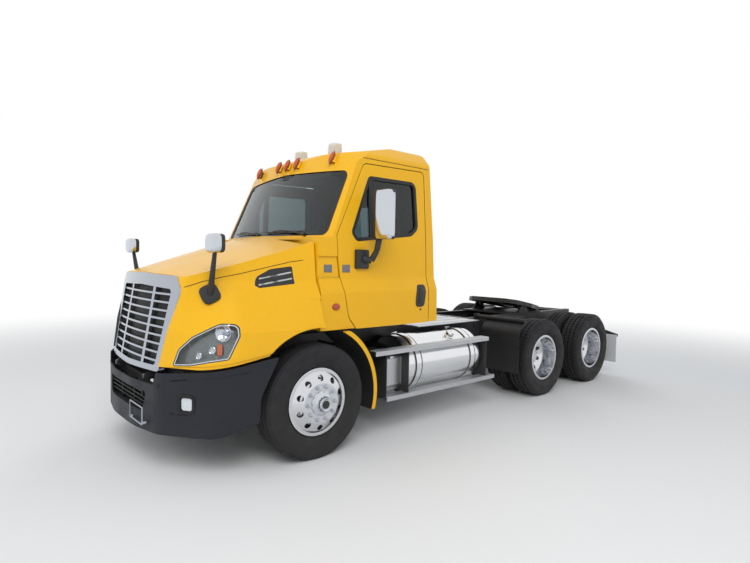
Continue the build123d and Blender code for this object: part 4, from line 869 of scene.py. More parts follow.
# %% [markdown]
# Door handles, side markers and small plates
#
# A handle is a black oval plate with a paddle on it, near the door's rear edge. Both are soft boxes
# whose points are then laid on the door's skin, which leans in above its crease. A lock sits below. The
# lamps on the cowl are flattened spheres, and the two small plates above them are plain.

# %% Door handles
HANDLE_PLACE, HANDLE_RAKE = (1.341, 1.388), 0.10
HANDLE_PLATE = (-0.010, -0.069, -0.116), (0.010, 0.069, 0.116)
HANDLE_PADDLE = (-0.006, -0.034, -0.082), (0.019, 0.034, 0.088)
LOCK_Z, LOCK_RADIUS, LOCK_IN, LOCK_OUT = 1.245, 0.012, Vector((0.012, 0, 0)), Vector((0.004, 0, 0))
for side, sign in SIDES:
    bm = bmesh.new()
    add_soft_box(bm, *HANDLE_PLATE, power=4.5, cuts=12)
    add_soft_box(bm, *HANDLE_PADDLE, power=4.0, cuts=8)
    for v in bm.verts:
        z = HANDLE_PLACE[1] + v.co.z
        v.co = at(side_x(z) + v.co.x, HANDLE_PLACE[0] + v.co.y + HANDLE_RAKE * v.co.z, z)
    lock = at(side_x(LOCK_Z), HANDLE_PLACE[0], LOCK_Z)
    add_cylinder(bm, lock - LOCK_IN, lock + LOCK_OUT, LOCK_RADIUS, 20, bevel=0.001)
    new_piece("door_handle_" + side, bm, BLACK, "door_" + side, flip=sign < 0)

# %% Side markers and plates
MARKER_PLACE, MARKER_SIZE, MARKER_LIFT, PLATE_LIFT = (0.229, 1.320), (0.032, 0.045, 0.016), 0.003, 0.002
COWL_PLATE, DOOR_PLATE, PLATE_HALF = (0.175, 1.665), (0.372, 1.665), Vector((0.035, 0.044, 0.003))


def from_side(node, sign, y, z):
    """Where a level ray from one side of the truck meets a node."""
    return hit(node, at(sign * FLANK_RAY_FROM, y, z), (-sign, 0, 0))


for side, sign in SIDES:
    bm = bmesh.new()
    point, normal = from_side("cab_shell", sign, *MARKER_PLACE)
    made = bmesh.ops.create_uvsphere(bm, u_segments=28, v_segments=12, radius=1.0)["verts"]
    bmesh.ops.scale(bm, vec=MARKER_SIZE, verts=made)
    bmesh.ops.transform(bm, matrix=turned_to(point + normal * MARKER_LIFT, normal), verts=made)
    new_piece("side_marker_" + side, bm, MARKER, "chassis")
for side, sign in SIDES:
    for label, node, body, place in (("cowl", "cab_shell", "chassis", COWL_PLATE),
                                     ("door", "door_" + side, "door_" + side, DOOR_PLATE)):
        point, normal = from_side(node, sign, *place)
        bm = bmesh.new()
        made = add_box(bm, -PLATE_HALF, PLATE_HALF, bevel=0.0015)
        bmesh.ops.transform(bm, matrix=turned_to(point + normal * PLATE_LIFT, normal), verts=made)
        new_piece("%s_plate_%s" % (label, side), bm, TRIM_GREY, body)

# %% [markdown]
# Mirrors
#
# The door mirror is a tall chrome shell that faces forwards, its inner edge painted black as shade, with the
# silvered glass behind. It hangs on a bent black arm from a pad on the door. The hood mirror is a small
# chrome shell on a tapered arm that leans out from an oval foot. Both shells are soft boxes cut open behind.

# %% Door mirrors
MIRROR_GLASS = finish("mirror glass", (0.90, 0.91, 0.92), metal=1.0, gloss=(0.015, 0.03))
MIRROR_X, MIRROR_Z, MIRROR_SPLIT = (1.132, 1.362), (1.940, 2.402), 0.150
MIRROR_FRONT, MIRROR_BACK, SHELL_LIP = at(0, 0.600, 0).y, at(0, 0.700, 0).y, 0.020
# How wide the shell's inner band painted black as shade is, and how far a face must turn towards the cab to
# be painted so
MIRROR_HALF, SHADE_BAND, SHADE_TILT, MIRROR_TOE = (MIRROR_X[1] - MIRROR_X[0]) / 2, 0.060, -0.45, 0.14
# What the cut takes off the shell; then how far in from the shell's edges the lining and the panes are,
# and how far before its back they start and end
SHELL_SPARE, LINING_IN, LINING_Y = 0.010, 0.004, (0.052, 0.006)
PANE_IN, PANE_Y, PANE_GAP = 0.018, (0.008, 0.002), 0.006
PAD_X, PAD_HALF, PAD_Y, PAD_Z = 1.058, 0.020, (0.470, 0.630), (1.664, 1.846)
# The arm's joints from the pad to the shell, and the radius at both ends of each length
ARM_JOINTS = [(1.060, 0.560, 1.755), (1.120, 0.615, 1.745), (1.165, 0.640, 1.835), (1.185, 0.652, 1.955)]
ARM_RADII = [(0.040, 0.030), (0.030, 0.027), (0.027, 0.030)]
for side, sign in SIDES:
    body, node = "door_" + side, "door_mirror_" + side
    inner, outer = sorted((sign * MIRROR_X[0], sign * MIRROR_X[1]))
    z0, z1 = MIRROR_Z
    cab_side = sign * MIRROR_X[0]
    shell = bmesh.new()
    add_soft_box(shell, (inner, MIRROR_FRONT, z0), (outer, MIRROR_BACK + SHELL_SPARE, z1), power=9.0, cuts=18)
    cut_behind(shell, MIRROR_BACK - SHELL_LIP)
    for v in shell.verts:
        share = (MIRROR_BACK - SHELL_LIP - v.co.y) / (MIRROR_BACK - SHELL_LIP - MIRROR_FRONT)
        v.co.y += share * MIRROR_TOE * (abs(v.co.x) - abs(cab_side) - MIRROR_HALF)
    piece = new_piece("mirror_shell_" + side, shell, CHROME, body)
    # The shell's cab-facing faces and its inner band are painted black: painted shade
    piece.data.materials.append(BLACK)
    for polygon in piece.data.polygons:
        if polygon.normal.x * sign < SHADE_TILT or (polygon.center.x - cab_side) * sign < SHADE_BAND:
            polygon.material_index = 1
    # The black inside of the shell, the pad, and the arm
    bm = bmesh.new()
    add_box(bm, (inner + LINING_IN, MIRROR_BACK - LINING_Y[0], z0 + LINING_IN),
            (outer - LINING_IN, MIRROR_BACK - LINING_Y[1], z1 - LINING_IN), bevel=0.014, segments=4)
    add_box(bm, at(sign * PAD_X - PAD_HALF, PAD_Y[0], PAD_Z[0]),
            at(sign * PAD_X + PAD_HALF, PAD_Y[1], PAD_Z[1]), bevel=0.014, segments=4)
    joints = [at(sign * x, y, z) for x, y, z in ARM_JOINTS]
    for start, end, (near, far) in zip(joints, joints[1:], ARM_RADII):
        add_cylinder(bm, start, end, near, 24, end_radius=far, bevel=0.004)
    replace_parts(new_piece("mirror_arm_" + side, bm, BLACK, body), node)
    # The glass: a tall pane over a small one
    bm = bmesh.new()
    split = z0 + MIRROR_SPLIT
    for foot, top in ((split + PANE_GAP, z1 - PANE_IN), (z0 + PANE_IN, split - PANE_GAP)):
        add_box(bm, (inner + PANE_IN, MIRROR_BACK - PANE_Y[0], foot),
                (outer - PANE_IN, MIRROR_BACK - PANE_Y[1], top), bevel=0.002)
    new_piece("mirror_glass_" + side, bm, MIRROR_GLASS, body)

# %% Hood mirrors
FOOT_PLACE, FOOT_BOX, FOOT_LIFT = (-0.850, 1.450), ((-0.078, -0.074, -0.020), (0.078, 0.074, 0.030)), 0.008
STALK_TOP, STALK_LIFT, STALK_DROP, HEAD_X = (0.985, -0.878, 1.800), 0.016, 0.02, 0.998
# The head's parts: half width, y, z
HEAD_BLACK = (0.102, (-0.900, -0.838), (1.782, 1.928))
HEAD_SHELL, HEAD_SHELL_BACK = (0.106, (-0.935, -0.845), (1.778, 1.932)), -0.880
HEAD_GLASS = (0.086, (-0.848, -0.842), (1.796, 1.914))
for side, sign in SIDES:
    point, normal = from_side("hood_shell", sign, *FOOT_PLACE)
    bm = bmesh.new()
    made = add_soft_box(bm, *FOOT_BOX, power=3.4, cuts=10)
    bmesh.ops.transform(bm, matrix=turned_to(point + normal * FOOT_LIFT, normal), verts=made)
    add_cylinder(bm, point + normal * STALK_LIFT - UP * STALK_DROP, at(sign * STALK_TOP[0], *STALK_TOP[1:]),
                 radius=0.027, sides=24, end_radius=0.016, bevel=0.004)
    add_soft_box(bm, *box_at(sign * HEAD_X, *HEAD_BLACK), power=5.0, cuts=10)
    piece = new_piece("hood_mirror_arm_" + side, bm, BLACK, "hood")
    if side == "left":
        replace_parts(piece, "hood_mirrors")
    bm = bmesh.new()
    add_soft_box(bm, *box_at(sign * HEAD_X, *HEAD_SHELL), power=3.6, cuts=12)
    cut_behind(bm, at(0, HEAD_SHELL_BACK, 0).y)
    new_piece("hood_mirror_shell_" + side, bm, CHROME, "hood")
    bm = bmesh.new()
    add_box(bm, *box_at(sign * HEAD_X, *HEAD_GLASS), bevel=0.004)
    new_piece("hood_mirror_glass_" + side, bm, MIRROR_GLASS, "hood")

# %% [markdown]
# Headlights
#
# A real headlight is a clear cover over a dark housing with a bright reflector, a turn lamp and small
# projectors inside. The solid has its front faces clear and its other faces dark, so it already is a
# housing. The inner pieces are placed in it along the lamp's own directions, and two thin rings trim
# its edge: a black seal and a bright lip.

# %% The headlight's outline
LAMP_RAY_FROM = 0.6
HEADLIGHT_ROWS = [(0.645, 0.884, 0.016), (0.690, 1.020, 0.080), (0.800, 1.120, 0.150), (1.010, 1.228, 0.140),
                  (1.150, 1.222, 0.070), (1.172, 1.130, 0.060), (1.112, 0.950, 0.026), (0.980, 0.930, 0.200),
                  (0.800, 0.893, 0.200)]


def on_lamp(a, z, depth):
    """A point on the left headlight's cover, given on the lamp's own front view, and depth inside it."""
    flat = Vector((*LAMP_ORIGIN, 0)) + LAMP_RIGHT * (a - LAMP_ORIGIN[0])
    start = at(flat.x, flat.y, z) - LAMP_IN * LAMP_RAY_FROM
    for node in ("headlights", "hood_shell"):
        found, point, normal, index = nodes[node].ray_cast(start, LAMP_IN)
        if found:
            break
    return point + LAMP_IN * depth


# %% Headlights
REFLECTOR, TURN_LAMP, PROJECTOR, SMALL_LAMP = (1.041, 1.151), (1.029, 1.022), (0.971, 1.019), (0.861, 0.972)
SEAL_LIFT, LIP_LIFT, REFLECTOR_DEEP, LAMPS_DEEP = 0.0015, 0.001, 0.022, 0.024
TURN_LAMP_HALF = Vector((0.021, 0.046, 0.010))
# Turned parts, outlines of (inwards, radius)
BOWL = [(0.030, 0.001), (0.028, 0.018), (0.016, 0.042), (0.0, 0.060), (-0.003, 0.063), (-0.003, 0.066),
        (0.004, 0.067)]
BULB_SHIELD = [(0.016, 0.001), (-0.002, 0.010), (0.006, 0.016), (0.028, 0.018)]
LENS_RING = [(0.0, 0.030), (-0.006, 0.030), (-0.008, 0.027), (-0.006, 0.024), (0.006, 0.022), (0.010, 0.001)]
for side, sign in SIDES:
    seal = band(HEADLIGHT_ROWS, width=0.006, depth=0.004, margin=0.0015,
                place=lambda a, b, d: on_lamp(a, b, d - SEAL_LIFT))
    lip = band(HEADLIGHT_ROWS, width=0.008, depth=0.003, margin=0.008,
               place=lambda a, b, d: on_lamp(a, b, d - LIP_LIFT))
    bright = bmesh.new()
    into = turned_to(on_lamp(*REFLECTOR, REFLECTOR_DEEP), LAMP_IN)
    add_turned(bright, BOWL, into, 40)
    add_turned(bright, BULB_SHIELD, into, 24)
    for place, size in ((PROJECTOR, 1.0), (SMALL_LAMP, 0.85)):
        into = turned_to(on_lamp(*place, LAMPS_DEEP), LAMP_IN)
        add_turned(bright, [(u * size, r * size) for u, r in LENS_RING], into, 32)
    amber = bmesh.new()
    made = add_soft_box(amber, -TURN_LAMP_HALF, TURN_LAMP_HALF, power=5.0, cuts=6)
    turn = Matrix((LAMP_RIGHT, UP, LAMP_IN)).transposed().to_4x4()
    turn.translation = on_lamp(*TURN_LAMP, LAMPS_DEEP)
    bmesh.ops.transform(amber, matrix=turn, verts=made)
    for label, bm, material, slot in (("seal", seal, RUBBER, "mirror_plastic"),
                                      ("lip", lip, CHROME, "grille_chrome"),
                                      ("reflectors", bright, CHROME, "grille_chrome"),
                                      ("turn_lamp", amber, AMBER, "lamp_glass")):
        new_piece("headlight_%s_%s" % (label, side), bm, material, "hood", flip=sign < 0)

# %% [markdown]
# Lines on the hood
#
# The hood is moulded in parts: a dark joint runs from the grille's corner back to the cowl, the wheel
# arch ends in a rolled lip, and two silver bars cross each side vent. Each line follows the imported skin,
# so its points are found by rays cast at the skin from outside.

# %% Lines on the hood
SEAM_PATH = [(-1.022, 1.504), (-0.890, 1.551), (-0.765, 1.583), (-0.612, 1.615), (-0.428, 1.659),
             (-0.180, 1.718), (-0.058, 1.737)]
VENT_BARS = [[(-0.458, 1.572), (-0.175, 1.628)], [(-0.470, 1.520), (-0.170, 1.574)]]
ARCH_LIP_RADIUS, ARCH_LIP_ANGLES = 0.658, [radians(a) for a in range(46, 92, 3)]
ARCH_PATH = [(-ARCH_LIP_RADIUS * cos(a), AXLE_Z + ARCH_LIP_RADIUS * sin(a)) for a in ARCH_LIP_ANGLES]


def on_flank(node, path, lift, steps=10):
    """Points on a node's left flank along a path of (y, z) places."""
    places = [(y0 + (y1 - y0) * (i / steps), z0 + (z1 - z0) * (i / steps))
              for (y0, z0), (y1, z1) in zip(path, path[1:]) for i in range(steps)]
    found = [from_side(node, 1, y, z) for y, z in places + path[-1:]]
    return [point + normal * lift for point, normal in found]


for side, sign in SIDES:
    seam, bars, lip = bmesh.new(), bmesh.new(), bmesh.new()
    add_bead(seam, on_flank("hood_shell", SEAM_PATH, lift=-0.001), LINE_RADIUS)
    for path in VENT_BARS:
        add_bead(bars, on_flank("grille", path, lift=0.001, steps=8), radius=0.0075, sides=12)
    add_bead(lip, on_flank("hood_shell", ARCH_PATH, lift=-0.002, steps=2), radius=0.007, sides=12)
    for label, bm, material, slot in (("joint", seam, SHADE_JOINT_TRIM_BLACK, "chassis_black"),
                                      ("vent_bars", bars, VENT_SILVER, "grille_chrome"),
                                      ("arch_lip", lip, PAINT, "body_paint")):
        new_piece("hood_%s_%s" % (label, side), bm, material, "hood", flip=sign < 0)

# %% The hood's rear edge
# It runs on down to the arch as a thin turned-in panel, a little inside the skin. The skin's slope is
# measured between two places, and carried on backwards.
PANEL_Y, PANEL_Z, PANEL_GRID = (-0.052, 0.043), (1.160, 1.412), (6, 10)
PANEL_WALL, PANEL_INSET = 0.006, 0.0015
SLOPE_FROM, SLOPE_TO = -0.100, -0.050
for side, sign in SIDES:
    bm = bmesh.new()
    bmesh.ops.create_grid(bm, x_segments=PANEL_GRID[0], y_segments=PANEL_GRID[1], size=0.5)
    for v in bm.verts:
        y = PANEL_Y[0] + (v.co.x + 0.5) * (PANEL_Y[1] - PANEL_Y[0])
        z = PANEL_Z[0] + (v.co.y + 0.5) * (PANEL_Z[1] - PANEL_Z[0])
        ahead, normal = from_side("hood_shell", 1, SLOPE_FROM, z)
        edge, normal = from_side("hood_shell", 1, SLOPE_TO, z)
        slope = (edge.x - ahead.x) / (SLOPE_TO - SLOPE_FROM)
        v.co = at(edge.x - PANEL_INSET + slope * (y - SLOPE_TO), y, z)
    bmesh.ops.recalc_face_normals(bm, faces=bm.faces)
    bmesh.ops.solidify(bm, geom=bm.faces[:], thickness=PANEL_WALL)
    new_piece("hood_rear_panel_" + side, bm, PAINT, "hood", flip=sign < 0)

# %% [markdown]
# Bumper details
#
# The bumper has a crease under its top lip, a black surround and a shallow crease at each fog lamp, two
# towing holes painted near-black as shade, and an empty plate frame that hangs at its foot. Behind its
# openings, near-black sheets are painted shade.

# %% Creases, fog lamp surrounds and towing holes
LIP_PATH = [(0.740, -1.134, 0.770), (0.880, -1.045, 0.793), (1.024, -0.944, 0.816), (1.110, -0.800, 0.836),
            (1.147, -0.649, 0.851)]
FOG_CREASE = [(0.733, -1.138, 0.517), (0.800, -1.096, 0.511), (0.858, -1.059, 0.513), (0.905, -1.030, 0.530)]
# The rays at the bumper come in towards a line across the truck
BUMPER_MIDDLE_Y, BUMPER_RAY_FROM, CREASE_SINK = -0.3, 0.4, 0.002
TOW_HOLE, TOW_RADIUS, TOW_IN, TOW_OUT = (0.631, -1.594, 0.718), 0.024, 0.002, 0.0015
SURROUND_LIFT = 0.005
FOG_SURROUND = [(-0.078, -0.078, 0.045), (0.078, -0.078, 0.045), (0.078, 0.078, 0.045),
                (-0.078, 0.078, 0.045)]


def round_bumper(path, steps=6):
    """Points just inside the bumper's skin along a path of rough places."""
    points = []
    for a, b in zip(path, path[1:]):
        for i in range(steps + (b == path[-1])):
            p = Vector(a).lerp(Vector(b), i / steps)
            out = Vector((p.x, p.y - BUMPER_MIDDLE_Y, 0)).normalized()
            point, normal = hit("bumper", at(*p) + out * BUMPER_RAY_FROM, -out)
            points.append(point - normal * CREASE_SINK)
    return points


def on_fog(a, z, out):
    """A point on the flat of the bumper round the left fog lamp."""
    right = Vector((cos(FOG_TURN), sin(FOG_TURN), 0))
    away = Vector((sin(FOG_TURN), -cos(FOG_TURN), 0))
    return at(*FOG_PLACE) + right * a + Vector((0, 0, z)) + away * out


crease = bmesh.new()
add_bead(crease, round_bumper(LIP_PATH), radius=0.0055, sides=10)
add_bead(crease, round_bumper(FOG_CREASE), radius=0.0045, sides=10)
mirror_copy(crease)
new_piece("bumper_creases", crease, BUMPER, "chassis")
black = band(FOG_SURROUND, width=0.026, depth=0.009, place=lambda a, b, d: on_fog(a, b, SURROUND_LIFT - d))
# A towing hole is a near-black disc: painted shade in the hole
point, normal = hit("bumper", at(*TOW_HOLE), REARWARDS)
add_cylinder(black, point - normal * TOW_IN, point + normal * TOW_OUT, TOW_RADIUS, 28)
mirror_copy(black)

# %% Painted shade inside the bumper
TRAY_HALF, TRAY_STEPS, TRAY_Z, TRAY_WALL, SKIN_GAP = 0.560, 5, 0.472, 0.006, 0.012
WALL_Y, WALL_Z = (-1.150, -1.142), (0.440, 0.700)
# The wall's upper strip leaves two gaps for the hood's hinge arms
STRIP_X, STRIP_Z = ((-0.560, -0.425), (-0.335, 0.335), (0.425, 0.560)), (0.695, 0.735)
SHROUD_X, SHROUD_Y, SHROUD_Z = ((-0.760, -0.430), (0.430, 0.760)), (-1.030, -1.024), (0.600, 0.840)
CHEEK_X, CHEEK_HALF, CHEEK_FRONT = (-0.557, 0.557), 0.003, -1.200
RIB_X, RIB_HALF, RIB_FRONT, RIB_Z = (-0.30, 0.0, 0.30), 0.020, -1.168, (0.470, 0.670)


def add_plate(bm, x, y, z, bevel=0.0):
    """A box given by its two ends in each direction, from the front axle."""
    add_box(bm, at(x[0], y[0], z[0]), at(x[1], y[1], z[1]), bevel=bevel)


# Near-black sheets behind the bumper's openings: painted shade
add_plate(black, (-TRAY_HALF, TRAY_HALF), WALL_Y, WALL_Z)
for i in range(-TRAY_STEPS, TRAY_STEPS):
    x0, x1 = TRAY_HALF * i / TRAY_STEPS, TRAY_HALF * (i + 1) / TRAY_STEPS
    skin, normal = hit("bumper", at(max(abs(x0), abs(x1)), -2.0, WALL_Z[0]), REARWARDS)
    add_box(black, (x0, skin.y + SKIN_GAP, TRAY_Z), (x1, at(0, WALL_Y[1], 0).y, TRAY_Z + TRAY_WALL))
for x in SHROUD_X:
    add_plate(black, x, SHROUD_Y, SHROUD_Z)
for x in STRIP_X:
    add_plate(black, x, WALL_Y, STRIP_Z)
for x in CHEEK_X:
    add_box(black, *box_at(x, CHEEK_HALF, (CHEEK_FRONT, WALL_Y[1]), (TRAY_Z, WALL_Z[1])))
for x in RIB_X:
    add_box(black, *box_at(x, RIB_HALF, (RIB_FRONT, WALL_Y[0]), RIB_Z), bevel=0.003)
new_piece("bumper_trim_and_shade", black, SHADE_JOINT_TRIM_BLACK, "chassis")

# %% The empty plate frame
PLATE_Y, PLATE_WALL = -1.275, 0.005
PLATE_ROWS = [(0.225, 0.395, 0.012), (0.535, 0.395, 0.012), (0.535, 0.545, 0.012), (0.225, 0.545, 0.012)]
TAB_X, TAB_HALF, TAB_BACK, TAB_Z = (0.250, 0.510), 0.012, -1.215, (0.400, 0.420)
bm = band(PLATE_ROWS, width=0.013, depth=PLATE_WALL, place=lambda a, b, d: at(a, PLATE_Y + d, b))
for x in TAB_X:
    add_box(bm, *box_at(x, TAB_HALF, (PLATE_Y + PLATE_WALL, TAB_BACK), TAB_Z), bevel=0.002)
# The frame is in the darker chrome: painted shade
new_piece("plate_frame", bm, SHADED_CHROME, "chassis")

# %% [markdown]
# Tanks, steps and battery boxes
#
# A tank strap is polished steel with black rubber under its edges, so the dark bands of the solid show
# only as thin lines beside a bright strap. The steps are serrated plank, and the battery box has a
# cover of tread plate with raised lozenges in two directions.

# %% Tank straps and caps
STRAP_PLACES, STRAP_BOLT, STRAP_BOLT_HALF = (1.380, 2.290), (0.10, 0.305), REARWARDS * 0.045
STRAP_ROWS = [(-0.036, 0.304), (-0.036, 0.3085), (-0.034, 0.3100), (0.034, 0.3100), (0.036, 0.3085),
              (0.036, 0.304)]
CAP_PLACE, CAP_LEAN, CAP_LUGS = (0.905, 2.020, 0.895), Vector((0.53, 0, 0.85)).normalized(), 3
CAP_LUG = (0.030, -0.006, 0.046), (0.058, 0.006, 0.058)
CAP_ROWS = [(-0.030, 0.060), (0.004, 0.060), (0.008, 0.056), (0.010, 0.046), (0.040, 0.046), (0.046, 0.042),
            (0.050, 0.030), (0.050, 0.001)]
bm = bmesh.new()
for y in STRAP_PLACES:
    add_ring(bm, STRAP_ROWS, at(TANK_MIDDLE[0], y, TANK_MIDDLE[1]), REARWARDS, 96)
    bolt = at(TANK_MIDDLE[0] - STRAP_BOLT[0], y, TANK_MIDDLE[1] + STRAP_BOLT[1])
    add_cylinder(bm, bolt - STRAP_BOLT_HALF, bolt + STRAP_BOLT_HALF, radius=0.010, sides=16, bevel=0.002)
mirror_copy(bm)
new_piece("tank_straps", bm, TANK, "chassis")
bm = bmesh.new()
place = turned_to(at(*CAP_PLACE), CAP_LEAN)
add_turned(bm, CAP_ROWS, place, 40)
for i in range(CAP_LUGS):
    made = add_box(bm, *CAP_LUG, bevel=0.002)
    bmesh.ops.transform(bm, matrix=place @ Matrix.Rotation(2 * pi * i / CAP_LUGS, 4, "Z"), verts=made)
mirror_copy(bm)
new_piece("tank_caps", bm, TANK, "chassis")

# %% Step teeth
TOOTH_PITCH, TOOTH_INSET, TOOTH_HALF, TOOTH_SINK, TOOTH_RISE = 0.030, 0.028, 0.009, 0.001, 0.004
NOSE_IN, NOSE_OUT, NOSE_DROPS = 0.002, 0.003, (0.030, 0.012)
# Each step's teeth run from and to these places: the upper step, then the lower
TOOTH_ROWS = ((0.700, 2.510, STEP_HEIGHTS[1][1]), (0.860, 2.640, STEP_HEIGHTS[0][1]))
bm = bmesh.new()
for y0, y1, top in TOOTH_ROWS:
    for i in range(int((y1 - y0) / TOOTH_PITCH)):
        y = y0 + TOOTH_PITCH * (i + 0.5)
        for x in (STEP_INNER + TOOTH_INSET, STEP_OUTER - TOOTH_INSET):
            add_cylinder(bm, at(x, y, top - TOOTH_SINK), at(x, y, top + TOOTH_RISE), TOOTH_HALF, sides=8,
                         end_radius=0.006)
        add_plate(bm, (STEP_OUTER - NOSE_IN, STEP_OUTER + NOSE_OUT), (y - TOOTH_HALF, y + TOOTH_HALF),
                  (top - NOSE_DROPS[0], top - NOSE_DROPS[1]))
mirror_copy(bm)
new_piece("step_teeth", bm, STEP, "chassis")

# %% Battery covers
BOX_FACE_X, LOZENGE_FIRST, LOZENGE_PITCH, LOZENGE_COUNT = 1.000, (0.880, 0.482), 0.026, 11
LOZENGE_SIZE, COVER_HALF = (0.004, 0.018, 0.005), 0.004
EDGE_PLACES, EDGE_HALF, EDGE_Z = (0.872, 1.158), 0.005, (0.470, 0.760)
LATCH_Y, LATCH_Z, LATCH_PROUD = (0.985, 1.045), (0.745, 0.775), 0.014
bm = bmesh.new()
for row in range(LOZENGE_COUNT):
    for column in range(LOZENGE_COUNT):
        y, z = LOZENGE_FIRST[0] + LOZENGE_PITCH * column, LOZENGE_FIRST[1] + LOZENGE_PITCH * row
        turn = Matrix.Rotation(pi / 4 if (row + column) % 2 else -pi / 4, 3, "X")
        made = bmesh.ops.create_cube(bm, size=1.0)["verts"]
        bmesh.ops.scale(bm, vec=LOZENGE_SIZE, verts=made)
        bmesh.ops.rotate(bm, cent=(0, 0, 0), matrix=turn, verts=made)
        bmesh.ops.translate(bm, vec=at(BOX_FACE_X, y, z), verts=made)
# Two upright edges and a latch
for y in EDGE_PLACES:
    add_box(bm, *box_at(BOX_FACE_X, COVER_HALF, (y - EDGE_HALF, y + EDGE_HALF), EDGE_Z), bevel=0.002)
add_plate(bm, (BOX_FACE_X - COVER_HALF, BOX_FACE_X + LATCH_PROUD), LATCH_Y, LATCH_Z, bevel=0.004)
mirror_copy(bm)
new_piece("battery_covers", bm, STEP, "chassis")

# %% [markdown]
# Seats
#
# The seats are the soft pieces of this truck. Each is a cushion, a back and a head rest over a black
# base. A pad starts as a swollen box and gets side bolsters and sewn channels by moving its points, and
# one round of subdivision smooths it.

# %% The shape of a pad
BOLSTER_FROM, BOLSTER_HIGH, CHANNEL_DEEP, CHANNEL_WIDE = 0.62, 0.020, 0.012, 0.009
CROSS_SEAM_AT, CROSS_SEAM_DEEP, CROSS_SEAM_WIDE = 0.25, 0.010, 0.05


def finish_pad(name, x, box, faces_up=False, channels=(), lean=0.0):
    """A padded block with a crowned face, raised side bolsters and sewn channels, made one piece."""
    low, high = box_at(x, *box)
    middle, half = (low + high) / 2, (high - low) / 2
    thick, other, outwards = (2, 1, 1) if faces_up else (1, 2, -1)
    bm = bmesh.new()
    for v in add_soft_box(bm, low, high, power=4.5, cuts=22):
        across = abs((v.co.x - middle.x) / half.x)
        along = (v.co[other] - middle[other]) / half[other]
        face = max(0.0, outwards * (v.co[thick] - middle[thick]) / half[thick])
        bolster = BOLSTER_HIGH * max(0.0, across - BOLSTER_FROM) / (1 - BOLSTER_FROM)
        groove = sum(CHANNEL_DEEP * math.exp(-((v.co.x - middle.x - c) / CHANNEL_WIDE) ** 2)
                     for c in channels)
        cross = CROSS_SEAM_DEEP * math.exp(-((along - CROSS_SEAM_AT) / CROSS_SEAM_WIDE) ** 2)
        v.co[thick] -= outwards * face * (BOLSTER_HIGH - bolster + groove + cross)
        v.co.y += (v.co.z - low.z) * lean
    piece = new_piece(name, bm, SEAT, "chassis", smooth_angle=60.0)
    smooth = piece.modifiers.new("smooth", "SUBSURF")
    smooth.levels = smooth.render_levels = 1
    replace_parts(piece, "seats")


# %% Seats
SEAT_X, CHANNELS = 0.500, (-0.13, 0.13)
# Boxes of half width, y, z
CUSHION, BACK = (0.258, (0.842, 1.368), (1.442, 1.583)), (0.248, (1.272, 1.400), (1.560, 2.178))
HEAD_REST = (0.138, (1.390, 1.470), (2.186, 2.368))
PEDESTAL, PAN = (0.200, (0.900, 1.280), (1.150, 1.400)), (0.230, (0.870, 1.330), (1.398, 1.440))
# The head rest's posts: across, then (y, z) at the foot and at the top
POST_X, POST_FOOT, POST_TOP = (-0.06, 0.06), (1.425, 2.100), (1.432, 2.230)
for side, sign in SIDES:
    x = sign * SEAT_X
    finish_pad("seat_cushion_" + side, x, CUSHION, faces_up=True, channels=CHANNELS)
    finish_pad("seat_back_" + side, x, BACK, channels=CHANNELS, lean=0.125)
    finish_pad("seat_head_rest_" + side, x, HEAD_REST, lean=0.08)
    bm = bmesh.new()
    add_box(bm, *box_at(x, *PEDESTAL), bevel=0.020, segments=4)
    add_box(bm, *box_at(x, *PAN), bevel=0.012, segments=3)
    for post in POST_X:
        add_cylinder(bm, at(x + post, *POST_FOOT), at(x + post, *POST_TOP), radius=0.007, sides=12)
    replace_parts(new_piece("seat_base_" + side, bm, BLACK, "chassis"), "seats")

# %% [markdown]
# Floor, light and camera
#
# The floor is pale and plain. Three large soft panels and a dim sky light the truck evenly. The sky, and
# the floor far from the truck, show plain white to the camera, in reflections and through glass.

# %% White to the camera
FLOOR_HALF, FADE_START, FADE_END = 60.0, 5.0, 13.0


def mix_shaders(tree, plain, white, output, share=None):
    """Show a white shader instead of a plain one to the camera, in reflections and through glass."""
    path = add_node(tree, "LightPath").outputs
    shown = path["Is Camera Ray"]
    for name in ("Is Transmission Ray", "Is Glossy Ray"):
        shown = add_node(tree, "Math", {0: shown, 1: path[name]}, operation="MAXIMUM").outputs["Value"]
    if share is not None:
        shown = add_node(tree, "Math", {0: share, 1: shown}, operation="MULTIPLY").outputs["Value"]
    mix = add_node(tree, "MixShader", {"Fac": shown, 1: plain, 2: white})
    tree.links.new(mix.outputs["Shader"], output.inputs["Surface"])


def build_floor():
    """A wide floor whose far parts turn white, so that it has no edge against the backdrop."""
    bm = bmesh.new()
    bmesh.ops.create_grid(bm, x_segments=1, y_segments=1, size=FLOOR_HALF)
    mesh = bpy.data.meshes.new("floor")
    bm.to_mesh(mesh)
    bm.free()
    material = finish("floor", (0.80, 0.80, 0.80), gloss=(0.8, 0.9), specular=0.1)
    tree = material.node_tree
    place = add_node(tree, "TexCoord").outputs["Object"]
    far = add_node(tree, "VectorMath", {0: place}, operation="LENGTH").outputs["Value"]
    fade = add_node(tree, "MapRange", {"Value": far, "From Min": FADE_START, "From Max": FADE_END},
                    interpolation_type="SMOOTHSTEP").outputs["Result"]
    mix_shaders(tree, tree.nodes["Principled BSDF"].outputs["BSDF"],
                add_node(tree, "Emission").outputs["Emission"], tree.nodes["Material Output"], share=fade)
    mesh.materials.append(material)
    floor = bpy.data.objects.new("floor", mesh)
    bpy.context.scene.collection.objects.link(floor)


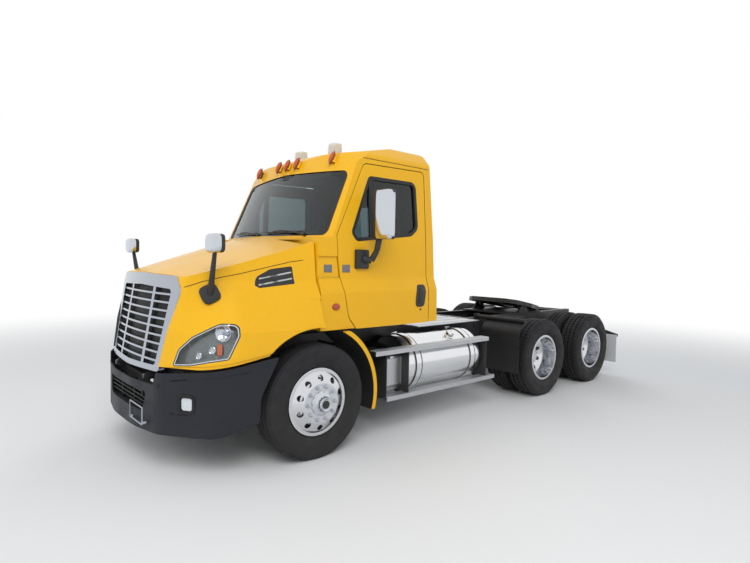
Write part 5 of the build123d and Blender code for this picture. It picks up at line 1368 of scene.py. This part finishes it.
def build_sky():
    """A dim blue-white sky that lights the truck, seen as plain white."""
    world = bpy.data.worlds.new("sky")
    bpy.context.scene.world = world
    world.use_nodes = True
    tree = world.node_tree
    light = tree.nodes["Background"]
    light.inputs["Color"].default_value = (0.92, 0.96, 1.0, 1)
    light.inputs["Strength"].default_value = 0.55
    seen = add_node(tree, "Background", {"Color": (1, 1, 1, 1), "Strength": 1.0})
    mix_shaders(tree, light.outputs["Background"], seen.outputs["Background"], tree.nodes["World Output"])


# %% Floor, sky and light
# Each panel's name, place, target, size and power
PANELS = (("key panel", (7.5, -6.5, 8.0), (0, -1.5, 1.2), (6.0, 6.0), 620),
          ("front fill", (-2.5, -11.0, 5.0), (0, -2.0, 1.2), (6.0, 4.0), 190),
          ("rear fill", (-7.0, 7.0, 7.0), (0, 0.5, 1.0), (7.0, 7.0), 330))
build_floor()
build_sky()
for name, place, target, size, power in PANELS:
    lamp = bpy.data.lights.new(name, "AREA")
    lamp.shape = "RECTANGLE"
    lamp.size, lamp.size_y = size
    lamp.energy = power
    holder = bpy.data.objects.new(name, lamp)
    bpy.context.scene.collection.objects.link(holder)
    holder.location = place
    holder.rotation_mode = "QUATERNION"
    holder.rotation_quaternion = (Vector(target) - Vector(place)).to_track_quat("-Z", "Y")
    holder.visible_glossy = False
print("floor, sky and", len(PANELS), "panels")

# %% Camera
CAMERA_PLACE = (4.8130, -2.6366, 1.7403)
CAMERA_YAW, CAMERA_PITCH, CAMERA_ROLL = radians(48.205), radians(2.255), radians(1.077)
PHOTO_WIDTH, FOCAL_PIXELS, SENSOR = 750.0, 520.4, 36.0


def build_camera():
    """A camera that stands and looks as the one that took the photo did."""
    level = cos(CAMERA_PITCH)
    back = Vector((sin(CAMERA_YAW) * level, -cos(CAMERA_YAW) * level, sin(CAMERA_PITCH)))
    right = UP.cross(back).normalized()
    up = back.cross(right)
    c, s = cos(CAMERA_ROLL), sin(CAMERA_ROLL)
    right, up = right * c + up * s, up * c - right * s
    data = bpy.data.cameras.new("camera")
    data.sensor_width = SENSOR
    data.lens = FOCAL_PIXELS * SENSOR / PHOTO_WIDTH
    camera = bpy.data.objects.new("camera", data)
    bpy.context.scene.collection.objects.link(camera)
    turn = Matrix((right, up, back)).transposed().to_4x4()
    camera.matrix_world = Matrix.Translation(at(*CAMERA_PLACE)) @ turn
    bpy.context.scene.camera = camera


build_camera()
bpy.context.scene.view_settings.view_transform = "Standard"
print("camera at", CAMERA_PLACE)
